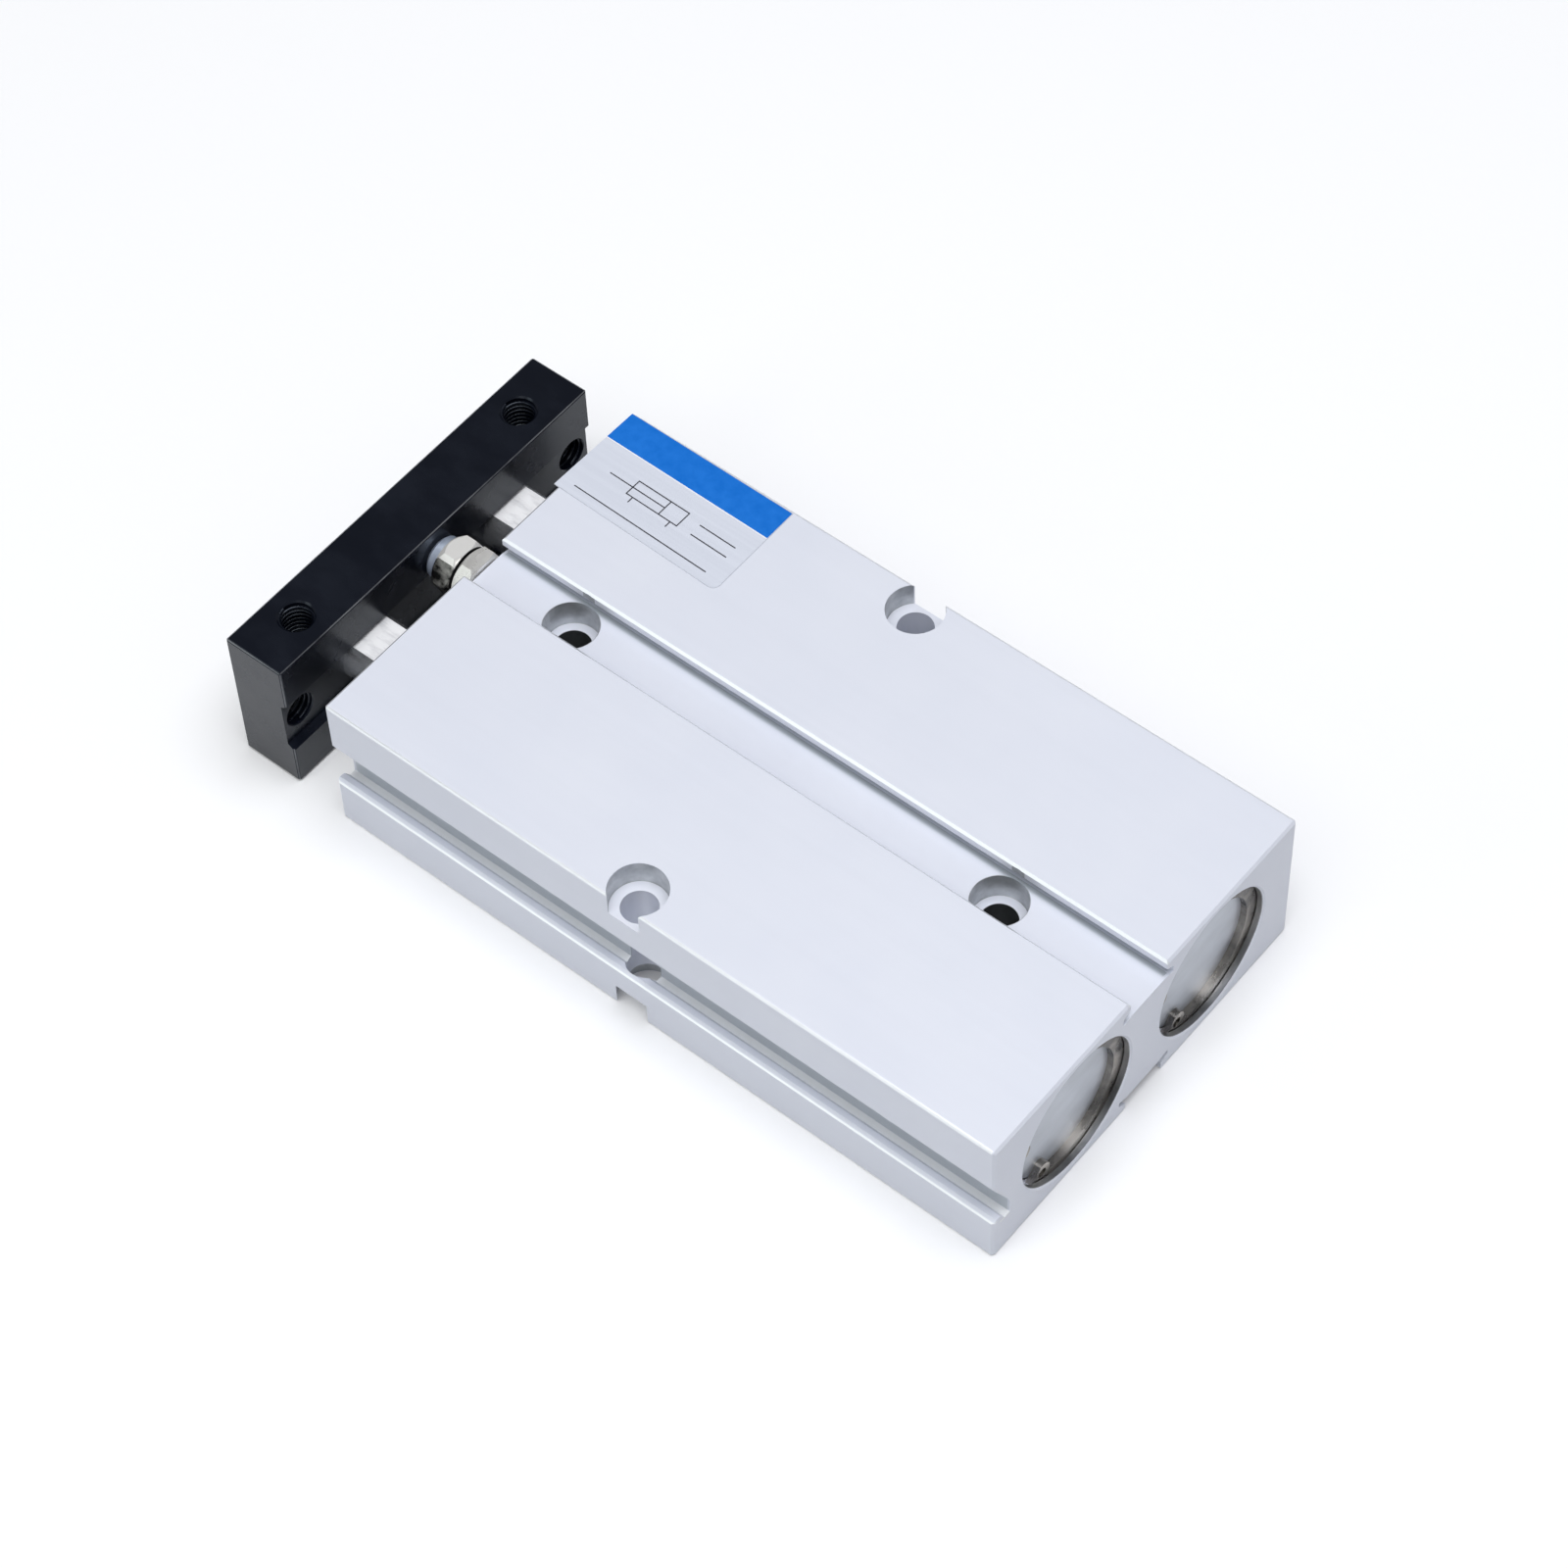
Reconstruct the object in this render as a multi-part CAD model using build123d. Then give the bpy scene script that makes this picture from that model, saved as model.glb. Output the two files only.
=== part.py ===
from build123d import *
import os
from math import cos, radians, sin

# A twin-rod guided pneumatic cylinder, drawn fully retracted.
# X runs along the rods towards the end plate, Y across the two bores and Z up.
# While it is drawn, x = 0 is the body's front face, y = 0 its middle and z = 0 its bottom.

# Stroke and outline of the body, in millimetres
STROKE = 50.0
BODY_WIDTH = 64.0
BODY_HEIGHT = 25.2
BODY_EDGE_ROUNDING = 0.45
BODY_END_CHAMFER = 0.35

# The two bores and the covers that close their ends
BORE_DIAMETER = 20.0
BORE_SPACING = 29.0
SEAT_DIAMETER = 22.6
SEAT_CHAMFER = 0.3
ROD_COVER_LENGTH = 27.8
REAR_COVER_LENGTH = 6.8
COVER_CLEARANCE = 0.02
COVER_EDGE_CHAMFER = 0.25

# Internal retaining rings, narrower towards their gap; angles run from +Y towards +Z,
# and a ring's reach and its lugs' inset are measured inwards from the seat's wall
RING_INSET = 1.2
RING_THICKNESS = 1.0
RING_GROOVE_DEPTH = 0.6
RING_GROOVE_EXTRA = 0.12
RING_EDGE_CLEARANCE = 0.02
RING_REACH = 1.5
RING_INNER_OFFSET = 0.65
RING_LUG_INSET = 1.2
RING_LUG_RADIUS = 1.6
RING_LUG_HOLE_DIAMETER = 1.5
RING_GAP_DIRECTION = -24.0
RING_LUG_HALF_ANGLE = 32.0
RING_GAP_HALF_ANGLE = 24.5

# Sensor slot along one side: depths are from the side face, heights from the bottom
SLOT_TOP_HEIGHT = 16.6
SLOT_SLOPE_END_DEPTH = 2.9
SLOT_SLOPE_END_HEIGHT = 11.0
SLOT_BACK_DEPTH = 3.4
SLOT_BACK_TOP_HEIGHT = 9.6
SLOT_BACK_BOTTOM_HEIGHT = 7.2
SLOT_GROOVE_DEPTH = 2.4
SLOT_GROOVE_HEIGHT = 7.0
SLOT_LIP_DEPTH = 1.5
SLOT_LIP_HEIGHT = 8.4
SLOT_MOUTH_DEPTH = 0.6
SLOT_MOUTH_HEIGHT = 8.6
SLOT_MOUTH_EDGE_HEIGHT = 8.05

# Channels along the middle of the top and bottom faces
CHANNEL_MOUTH_WIDTH = 7.8
CHANNEL_EDGE_CHAMFER = 0.35
CHANNEL_INNER_WIDTH = 10.6
CHANNEL_LIP_DEPTH = 1.4
CHANNEL_UNDERCUT_DEPTH = 2.2
CHANNEL_CORNER_EXTRA = 0.4
CHANNEL_FLAT_WIDTH = 7.2
TOP_CHANNEL_DEPTH = 3.0
BASE_CHANNEL_DEPTH = 2.7

# Mounting holes through the body, counterbored from both faces
MOUNT_HOLE_DIAMETER = 5.2
EDGE_HOLE_INSET = 3.2
EDGE_COUNTERBORE_DIAMETER = 8.3
EDGE_COUNTERBORE_DEPTH = 4.0
CHANNEL_COUNTERBORE_DIAMETER = 7.9
CHANNEL_COUNTERBORE_DEPTH = 4.5
FRONT_HOLE_INSET = 15.5
REAR_HOLE_INSET = 23.8

# Air ports on the side away from the sensor slot
PORT_THREAD_DIAMETER = 5.0
PORT_THREAD_DEPTH = 5.5
PORT_MOUTH_DIAMETER = 5.6
PORT_CROSS_DRILL_DIAMETER = 3.0
PORT_INSET_FROM_COVER = 1.7

# End plate
PLATE_GAP = 8.5
PLATE_THICKNESS = 10.0
PLATE_SIDE_INSET = 0.5
PLATE_HEIGHT = 24.3
PLATE_RAISE = 0.2
PLATE_EDGE_CHAMFER = 0.3
GROOVE_DEPTH = 1.05
GROOVE_MOUTH_BOTTOM = 7.3
GROOVE_MOUTH_TOP = 17.1
GROOVE_FLOOR_BOTTOM = 8.1
GROOVE_FLOOR_TOP = 16.4
PLATE_THREAD_DIAMETER = 5.0
PLATE_TOP_HOLE_SPACING = 45.6
PLATE_TOP_HOLE_DEPTH = 9.0
PLATE_TOP_HOLE_MOUTH = 5.5
PLATE_FACE_HOLE_SPACING = 56.6
PLATE_FACE_HOLE_MOUTH = 5.3

# Rods, pistons and what they carry
ROD_DIAMETER = 10.0
ROD_FLAT_WIDTH_ACROSS = 7.5
ROD_FLAT_LENGTH = 6.5
ROD_SPIGOT_DIAMETER = 6.0
SPIGOT_END_CHAMFER = 0.5
PISTON_LENGTH = 18.0
PISTON_RADIAL_CLEARANCE = 0.25
PISTON_REAR_GAP = 1.5
PISTON_END_CHAMFER = 0.6
WEAR_RING_LENGTH = 3.6
SEAL_LENGTH = 3.0
MAGNET_LENGTH = 3.0
PISTON_LAND = 1.6
PISTON_GROOVE_DEPTH = 2.4
WEAR_RING_THICKNESS = 1.2
RUNNING_CLEARANCE = 0.05
SEATED_CLEARANCE = 0.02
BUMPER_THICKNESS = 3.0
BUMPER_END_GAP = 0.5
BUMPER_OUTER_CLEARANCE = 0.4

# Rod cover insides
BUSH_LENGTH = 20.0
BUSH_THICKNESS = 1.5
BUSH_INSET = 7.6
ROD_BUSH_CLEARANCE = 0.03
ROD_SEAL_INSET = 1.6
ROD_SEAL_LENGTH = 4.2
ROD_SEAL_DIAMETER = 16.0
ROD_SEAL_LIP_HALF_GAP = 0.4
ROD_PASSAGE_CLEARANCE = 0.3
ORING_SECTION = 1.5
ORING_GROOVE_EXTRA = 0.3
ROD_COVER_ORING_INSET = 14.0

# Screws
ROD_SCREW_DIAMETER = 6.0
ROD_SCREW_HEAD_DIAMETER = 10.0
ROD_SCREW_HEAD_LENGTH = 6.0
ROD_SCREW_SOCKET = 5.0
ROD_SCREW_SOCKET_DEPTH = 3.0
ROD_SCREW_ENGAGEMENT = 12.0
ROD_SCREW_HEAD_RECESS = 0.3
PISTON_SCREW_DIAMETER = 4.0
PISTON_SCREW_HEAD_DIAMETER = 7.0
PISTON_SCREW_HEAD_LENGTH = 4.0
PISTON_SCREW_SOCKET = 3.0
PISTON_SCREW_SOCKET_DEPTH = 2.0
PISTON_SCREW_ENGAGEMENT = 8.0
PISTON_SCREW_RECESS = 1.0
SCREW_HOLE_EXTRA = 1.0
SCREW_CLEARANCE = 0.25
THREAD_CLEARANCE = 0.02
SCREW_EDGE_CHAMFER = 0.4

# Stop bolt with its lock nut and washer
STOP_BOLT_HEIGHT = 19.0
STOP_BOLT_DIAMETER = 5.0
STOP_BOLT_ACROSS_FLATS = 8.0
STOP_BOLT_TURN = 7.5
STOP_HEAD_THICKNESS = 2.8
STOP_GAP = 0.2
STOP_HEAD_TO_NUT = 0.35
STOP_NUT_THICKNESS = 3.35
STOP_WASHER_DIAMETER = 6.4
STOP_WASHER_REAR_CHAMFER = 0.15
STOP_WASHER_FRONT_CHAMFER = 0.45
STOP_BOLT_END_RECESS = 0.5
HEAD_CHAMFER = (0.55, 0.1)
LOCK_NUT_CHAMFER = (1.1, 0.2)

# How far a cut runs past the face it starts from
OVERCUT = 1.0

# Places that follow from the sizes above
BORE_HEIGHT = BODY_HEIGHT / 2
ROD_COVER_FRONT = -(RING_INSET + RING_THICKNESS)
ROD_COVER_REAR = ROD_COVER_FRONT - ROD_COVER_LENGTH
PISTON_FRONT = ROD_COVER_REAR - BUMPER_THICKNESS - BUMPER_END_GAP - STROKE
PISTON_REAR = PISTON_FRONT - PISTON_LENGTH
REAR_COVER_FRONT = PISTON_REAR - PISTON_REAR_GAP
REAR_COVER_REAR = REAR_COVER_FRONT - REAR_COVER_LENGTH
BODY_LENGTH = -REAR_COVER_REAR + RING_THICKNESS + RING_INSET
PLATE_BACK = PLATE_GAP
PLATE_FRONT = PLATE_BACK + PLATE_THICKNESS
PLATE_MIDDLE = PLATE_BACK + PLATE_THICKNESS / 2
PLATE_TOP = PLATE_RAISE + PLATE_HEIGHT
PLATE_WIDTH = BODY_WIDTH - 2 * PLATE_SIDE_INSET
EDGE_HOLE_SPACING = BODY_WIDTH - 2 * EDGE_HOLE_INSET
ROD_FRONT = PLATE_BACK + GROOVE_DEPTH
FRONT_HOLE_X = -FRONT_HOLE_INSET
REAR_HOLE_X = -BODY_LENGTH + REAR_HOLE_INSET
EDGE_HOLE_X = (FRONT_HOLE_X + REAR_HOLE_X) / 2
PISTON_OUTER_RADIUS = BORE_DIAMETER / 2 - PISTON_RADIAL_CLEARANCE
ROD_SCREW_SEAT = PLATE_FRONT - ROD_SCREW_HEAD_LENGTH - ROD_SCREW_HEAD_RECESS
PISTON_SCREW_SEAT = PISTON_REAR + PISTON_SCREW_HEAD_LENGTH + PISTON_SCREW_RECESS
FRONT_PORT_X = ROD_COVER_REAR - BUMPER_THICKNESS - PORT_INSET_FROM_COVER
REAR_PORT_X = REAR_COVER_FRONT + PORT_INSET_FROM_COVER

# Where the piston's grooves start, from its rear face forwards
WEAR_GROOVE_START = PISTON_LAND
SEAL_GROOVE_START = WEAR_GROOVE_START + WEAR_RING_LENGTH + PISTON_LAND
MAGNET_GROOVE_START = SEAL_GROOVE_START + SEAL_LENGTH + PISTON_LAND

# Which bore is on which side, and how a cut or piece is placed from its base
SIDES = {"near": BORE_SPACING / 2, "far": -BORE_SPACING / 2}
FROM_BASE = (Align.CENTER, Align.CENTER, Align.MIN)

# The model's origin is on the base plane, under the middle of the retracted cylinder
ORIGIN_SHIFT = (BODY_LENGTH - PLATE_FRONT) / 2


def write(shape, name):
    """Move a finished piece into the model's frame and save it."""
    export_step(Pos(ORIGIN_SHIFT, 0, 0) * shape, f"parts/{name}.step")


def rod_axis(shape, y):
    """Put a piece that was turned about the X axis on the rod axis at y."""
    return Pos(0, y, BORE_HEIGHT) * shape


def turned(*points):
    """A solid of revolution about the X axis from (x, radius) points."""
    return revolve(make_face(Polyline(*points, close=True)), axis=Axis.X)


def ring(x_rear, x_front, outer_radius, inner_radius, chamfer=0.0):
    """A ring about the X axis, with its outer edges broken by a chamfer."""
    return turned(
        (x_rear, inner_radius),
        (x_front, inner_radius),
        (x_front, outer_radius - chamfer),
        (x_front - chamfer, outer_radius),
        (x_rear + chamfer, outer_radius),
        (x_rear, outer_radius - chamfer),
    ) if chamfer else turned(
        (x_rear, inner_radius),
        (x_front, inner_radius),
        (x_front, outer_radius),
        (x_rear, outer_radius),
    )


def rod_along_x(x_rear, x_front, radius):
    """A plain cylinder about the X axis."""
    return Pos((x_rear + x_front) / 2, 0, 0) * Rot(0, 90, 0) * Cylinder(radius, x_front - x_rear)


def hex_along_x(x_rear, x_front, across_flats, turn=0.0):
    """A hexagonal prism about the X axis, with a flat facing up when turn is 0."""
    plane = Plane(origin=(x_rear, 0, 0), x_dir=(0, 1, 0), z_dir=(1, 0, 0))
    face = plane * RegularPolygon(across_flats / 2, 6, major_radius=False, rotation=turn)
    return extrude(face, amount=x_front - x_rear)


def drill_down(x, y, z_bottom, z_top, diameter):
    """A round cut along Z."""
    return Pos(x, y, (z_bottom + z_top) / 2) * Cylinder(diameter / 2, z_top - z_bottom)


def side_slot():
    """The profile of the sensor slot, as (y, z) points."""
    side = BODY_WIDTH / 2
    slope = (SLOT_TOP_HEIGHT - SLOT_SLOPE_END_HEIGHT) / SLOT_SLOPE_END_DEPTH
    return [
        (side + OVERCUT, SLOT_TOP_HEIGHT + OVERCUT * slope),
        (side - SLOT_SLOPE_END_DEPTH, SLOT_SLOPE_END_HEIGHT),
        (side - SLOT_BACK_DEPTH, SLOT_BACK_TOP_HEIGHT),
        (side - SLOT_BACK_DEPTH, SLOT_BACK_BOTTOM_HEIGHT),
        (side - SLOT_GROOVE_DEPTH, SLOT_GROOVE_HEIGHT),
        (side - SLOT_LIP_DEPTH, SLOT_LIP_HEIGHT),
        (side - SLOT_MOUTH_DEPTH, SLOT_MOUTH_HEIGHT),
        (side, SLOT_MOUTH_EDGE_HEIGHT),
        (side + OVERCUT, SLOT_MOUTH_EDGE_HEIGHT),
    ]


def channel(face_height, inward, depth):
    """The profile of a middle channel, cut inward (-1 down, +1 up) from a face."""
    half_mouth = CHANNEL_MOUTH_WIDTH / 2
    half_inner = CHANNEL_INNER_WIDTH / 2
    half_flat = CHANNEL_FLAT_WIDTH / 2
    right = [
        (half_mouth + CHANNEL_EDGE_CHAMFER, -OVERCUT),
        (half_mouth + CHANNEL_EDGE_CHAMFER, 0),
        (half_mouth, CHANNEL_EDGE_CHAMFER),
        (half_mouth, CHANNEL_LIP_DEPTH),
        (half_inner, CHANNEL_UNDERCUT_DEPTH),
        (half_inner, depth + CHANNEL_CORNER_EXTRA),
        (half_flat, depth),
    ]
    left = [(-y, z) for y, z in reversed(right)]
    return [(y, face_height + inward * z) for y, z in right + left]


def cylinder_body():
    """The extruded body with its bores, slots, holes and ports."""
    outline = RectangleRounded(BODY_WIDTH, BODY_HEIGHT, BODY_EDGE_ROUNDING)
    body = extrude(Plane.YZ * Pos(0, BODY_HEIGHT / 2) * outline, amount=-BODY_LENGTH)
    ends = body.faces().filter_by(Axis.X)
    body = chamfer(ends.edges(), BODY_END_CHAMFER)

    for profile in (
        side_slot(),
        channel(BODY_HEIGHT, -1, TOP_CHANNEL_DEPTH),
        channel(0, 1, BASE_CHANNEL_DEPTH),
    ):
        body -= extrude(Plane.YZ * make_face(Polyline(*profile, close=True)), amount=-BODY_LENGTH)

    for y in SIDES.values():
        body -= rod_axis(bore_cut(), y)
    for y in (-EDGE_HOLE_SPACING / 2, EDGE_HOLE_SPACING / 2):
        depth = EDGE_COUNTERBORE_DEPTH
        body -= mounting_hole(EDGE_HOLE_X, y, EDGE_COUNTERBORE_DIAMETER, depth, depth)
    for x in (FRONT_HOLE_X, REAR_HOLE_X):
        top_depth = TOP_CHANNEL_DEPTH + CHANNEL_COUNTERBORE_DEPTH
        base_depth = BASE_CHANNEL_DEPTH + CHANNEL_COUNTERBORE_DEPTH
        body -= mounting_hole(x, 0, CHANNEL_COUNTERBORE_DIAMETER, top_depth, base_depth)
    for x in (FRONT_PORT_X, REAR_PORT_X):
        body -= air_port(x)
    return body


def bore_cut():
    """What one bore takes out of the body: bore, cover seats, ring grooves and mouths."""
    seat = SEAT_DIAMETER / 2
    groove = seat + RING_GROOVE_DEPTH
    mouth = seat + SEAT_CHAMFER
    bore = BORE_DIAMETER / 2
    rear = -BODY_LENGTH
    return turned(
        (rear, 0),
        (rear, mouth),
        (rear + SEAT_CHAMFER, seat),
        (rear + RING_INSET - RING_GROOVE_EXTRA, seat),
        (rear + RING_INSET - RING_GROOVE_EXTRA, groove),
        (REAR_COVER_REAR, groove),
        (REAR_COVER_REAR, seat),
        (REAR_COVER_FRONT, seat),
        (REAR_COVER_FRONT, bore),
        (ROD_COVER_REAR, bore),
        (ROD_COVER_REAR, seat),
        (ROD_COVER_FRONT, seat),
        (ROD_COVER_FRONT, groove),
        (RING_GROOVE_EXTRA - RING_INSET, groove),
        (RING_GROOVE_EXTRA - RING_INSET, seat),
        (-SEAT_CHAMFER, seat),
        (0, mouth),
        (0, 0),
    )


def mounting_hole(x, y, counterbore, top_depth, base_depth):
    """A through hole with a counterbore from each face."""
    return (
        drill_down(x, y, 0, BODY_HEIGHT, MOUNT_HOLE_DIAMETER)
        + drill_down(x, y, BODY_HEIGHT - top_depth, BODY_HEIGHT, counterbore)
        + drill_down(x, y, 0, base_depth, counterbore)
    )


def countersunk_hole(diameter, depth, mouth):
    """A hole that starts at z = 0 and runs up, with a 45 degree countersink of the mouth's diameter."""
    sink = Cone(mouth / 2, diameter / 2, (mouth - diameter) / 2, align=FROM_BASE)
    return Cylinder(diameter / 2, depth, align=FROM_BASE) + sink


def air_port(x):
    """A tapped port in the far side, drilled on across the far bore into the near one."""
    side = -BODY_WIDTH / 2
    tapped = countersunk_hole(PORT_THREAD_DIAMETER, PORT_THREAD_DEPTH, PORT_MOUTH_DIAMETER)
    cross_length = BODY_WIDTH / 2 + SIDES["near"]
    cross = Cylinder(PORT_CROSS_DRILL_DIAMETER / 2, cross_length, align=FROM_BASE)
    return Pos(x, side, BORE_HEIGHT) * Rot(-90, 0, 0) * (tapped + cross)


def retaining_ring(x_rear):
    """An internal retaining ring with two eyelets beside its gap."""
    seat = SEAT_DIAMETER / 2
    outer = seat + RING_GROOVE_DEPTH - RING_EDGE_CLEARANCE
    lug_circle = seat - RING_LUG_INSET
    gap_angle = radians(RING_GAP_DIRECTION)
    inner_centre = Pos(RING_INNER_OFFSET * cos(gap_angle), RING_INNER_OFFSET * sin(gap_angle))
    sketch = Circle(outer) - inner_centre * Circle(seat - RING_REACH)
    lugs = []
    for side in (-1, 1):
        angle = radians(RING_GAP_DIRECTION + side * RING_LUG_HALF_ANGLE)
        lugs.append(Pos(lug_circle * cos(angle), lug_circle * sin(angle)))
        sketch += lugs[-1] * Circle(RING_LUG_RADIUS)
    reach = 2 * outer
    gap = [(0, 0)]
    for side in (-1, 1):
        angle = radians(RING_GAP_DIRECTION + side * RING_GAP_HALF_ANGLE)
        gap.append((reach * cos(angle), reach * sin(angle)))
    sketch -= make_face(Polyline(*gap, close=True))
    for place in lugs:
        sketch -= place * Circle(RING_LUG_HOLE_DIAMETER / 2)
    return Pos(x_rear, 0, 0) * extrude(Plane.YZ * sketch, amount=RING_THICKNESS)


def oring_groove(x_middle, outer_radius):
    """The groove that an O-ring leaves in the outside of a cover."""
    half = ORING_SECTION / 2 + ORING_GROOVE_EXTRA
    return ring(x_middle - half, x_middle + half, outer_radius + OVERCUT, outer_radius - ORING_SECTION)


def cover_oring(x_middle):
    """An O-ring between a cover and its seat, its round section drawn as an octagon to keep it light."""
    section = RegularPolygon(ORING_SECTION / 2 - SEATED_CLEARANCE, 8)
    middle_radius = SEAT_DIAMETER / 2 - COVER_CLEARANCE - ORING_SECTION / 2
    return revolve(Pos(x_middle, middle_radius) * section, axis=Axis.X)


def rear_cover():
    """The disc that closes a bore at the back."""
    radius = SEAT_DIAMETER / 2 - COVER_CLEARANCE
    disc = turned(
        (REAR_COVER_REAR, 0),
        (REAR_COVER_REAR, radius - COVER_EDGE_CHAMFER),
        (REAR_COVER_REAR + COVER_EDGE_CHAMFER, radius),
        (REAR_COVER_FRONT, radius),
        (REAR_COVER_FRONT, 0),
    )
    return disc - oring_groove((REAR_COVER_REAR + REAR_COVER_FRONT) / 2, radius)


def rod_cover():
    """The front cover that holds the rod's bush and seal."""
    radius = SEAT_DIAMETER / 2 - COVER_CLEARANCE
    passage = ROD_DIAMETER / 2 + ROD_PASSAGE_CLEARANCE
    bush_seat = ROD_DIAMETER / 2 + BUSH_THICKNESS + ROD_BUSH_CLEARANCE + SEATED_CLEARANCE
    seal_front = ROD_COVER_FRONT - ROD_SEAL_INSET
    seal_rear = seal_front - ROD_SEAL_LENGTH
    cover = ring(ROD_COVER_REAR, ROD_COVER_FRONT, radius, passage, COVER_EDGE_CHAMFER)
    cover -= ring(seal_rear, seal_front, ROD_SEAL_DIAMETER / 2, passage - OVERCUT)
    cover -= ring(ROD_COVER_REAR, ROD_COVER_FRONT - BUSH_INSET, bush_seat, passage - OVERCUT)
    return cover - oring_groove(ROD_COVER_FRONT - ROD_COVER_ORING_INSET, radius)


def rod_bush():
    """The guide bush that the rod slides in."""
    inner = ROD_DIAMETER / 2 + ROD_BUSH_CLEARANCE
    front = ROD_COVER_FRONT - BUSH_INSET
    return ring(front - BUSH_LENGTH, front, inner + BUSH_THICKNESS, inner)


def rod_seal():
    """The lip seal in the rod cover: a U-section open towards the chamber."""
    outer = ROD_SEAL_DIAMETER / 2 - SEATED_CLEARANCE
    inner = ROD_DIAMETER / 2 + RUNNING_CLEARANCE
    front = ROD_COVER_FRONT - ROD_SEAL_INSET - SEATED_CLEARANCE
    rear = front - ROD_SEAL_LENGTH + 2 * SEATED_CLEARANCE
    middle = (outer + inner) / 2
    return turned(
        (front, inner),
        (front, outer),
        (rear, outer),
        (rear, middle + ROD_SEAL_LIP_HALF_GAP),
        (rear + ROD_SEAL_LENGTH / 2, middle),
        (rear, middle - ROD_SEAL_LIP_HALF_GAP),
        (rear, inner),
    )


def rod_bumper():
    """The soft ring on the rod cover that the piston meets at full stroke."""
    outer = BORE_DIAMETER / 2 - BUMPER_OUTER_CLEARANCE
    inner = ROD_DIAMETER / 2 + BUSH_THICKNESS
    return ring(ROD_COVER_REAR - BUMPER_THICKNESS, ROD_COVER_REAR, outer, inner)


def piston_rod():
    """A guide rod: plate end with wrench flats, and a spigot for the piston."""
    radius = ROD_DIAMETER / 2
    spigot = ROD_SPIGOT_DIAMETER / 2
    spigot_rear = PISTON_SCREW_SEAT
    rod = turned(
        (spigot_rear, 0),
        (spigot_rear, spigot - SPIGOT_END_CHAMFER),
        (spigot_rear + SPIGOT_END_CHAMFER, spigot),
        (PISTON_FRONT, spigot),
        (PISTON_FRONT, radius),
        (ROD_FRONT, radius),
        (ROD_FRONT, 0),
    )
    flats_rear = PLATE_BACK - ROD_FLAT_LENGTH
    flats_length = ROD_FRONT - flats_rear
    for side in (-1, 1):
        height = side * (ROD_FLAT_WIDTH_ACROSS / 2 + radius / 2)
        rod -= Pos(flats_rear + flats_length / 2, 0, height) * Box(flats_length, ROD_DIAMETER, radius)
    screw_hole = ROD_SCREW_DIAMETER / 2 + THREAD_CLEARANCE
    rod -= rod_along_x(ROD_FRONT - ROD_SCREW_ENGAGEMENT - SCREW_HOLE_EXTRA, ROD_FRONT, screw_hole)
    piston_screw_hole = PISTON_SCREW_DIAMETER / 2 + THREAD_CLEARANCE
    hole_end = spigot_rear + PISTON_SCREW_ENGAGEMENT + SCREW_HOLE_EXTRA
    return rod - rod_along_x(spigot_rear, hole_end, piston_screw_hole)


def piston(with_magnet):
    """A piston with grooves for its wear ring, seal and, on one side, its magnet."""
    radius = PISTON_OUTER_RADIUS
    bore = ROD_SPIGOT_DIAMETER / 2 + SEATED_CLEARANCE
    head = PISTON_SCREW_HEAD_DIAMETER / 2 + SCREW_CLEARANCE
    shape = ring(PISTON_REAR, PISTON_FRONT, radius, bore, PISTON_END_CHAMFER)
    shape -= rod_along_x(PISTON_REAR, PISTON_SCREW_SEAT, head)
    grooves = [
        (WEAR_GROOVE_START, WEAR_RING_LENGTH, BORE_DIAMETER / 2 - WEAR_RING_THICKNESS),
        (SEAL_GROOVE_START, SEAL_LENGTH, radius - PISTON_GROOVE_DEPTH),
    ]
    if with_magnet:
        grooves.append((MAGNET_GROOVE_START, MAGNET_LENGTH, radius - PISTON_GROOVE_DEPTH))
    for start, length, floor in grooves:
        shape -= ring(PISTON_REAR + start, PISTON_REAR + start + length, radius + OVERCUT, floor)
    return shape


def piston_ring(start, length, floor, outer):
    """A ring in one of the piston's grooves."""
    rear = PISTON_REAR + start + SEATED_CLEARANCE
    front = PISTON_REAR + start + length - SEATED_CLEARANCE
    return ring(rear, front, outer, floor + SEATED_CLEARANCE)


def wear_ring():
    return piston_ring(
        WEAR_GROOVE_START,
        WEAR_RING_LENGTH,
        BORE_DIAMETER / 2 - WEAR_RING_THICKNESS,
        BORE_DIAMETER / 2 - RUNNING_CLEARANCE,
    )


def piston_seal():
    return piston_ring(
        SEAL_GROOVE_START,
        SEAL_LENGTH,
        PISTON_OUTER_RADIUS - PISTON_GROOVE_DEPTH,
        BORE_DIAMETER / 2 - RUNNING_CLEARANCE,
    )


def piston_magnet():
    return piston_ring(
        MAGNET_GROOVE_START,
        MAGNET_LENGTH,
        PISTON_OUTER_RADIUS - PISTON_GROOVE_DEPTH,
        PISTON_OUTER_RADIUS - SEATED_CLEARANCE,
    )


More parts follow.
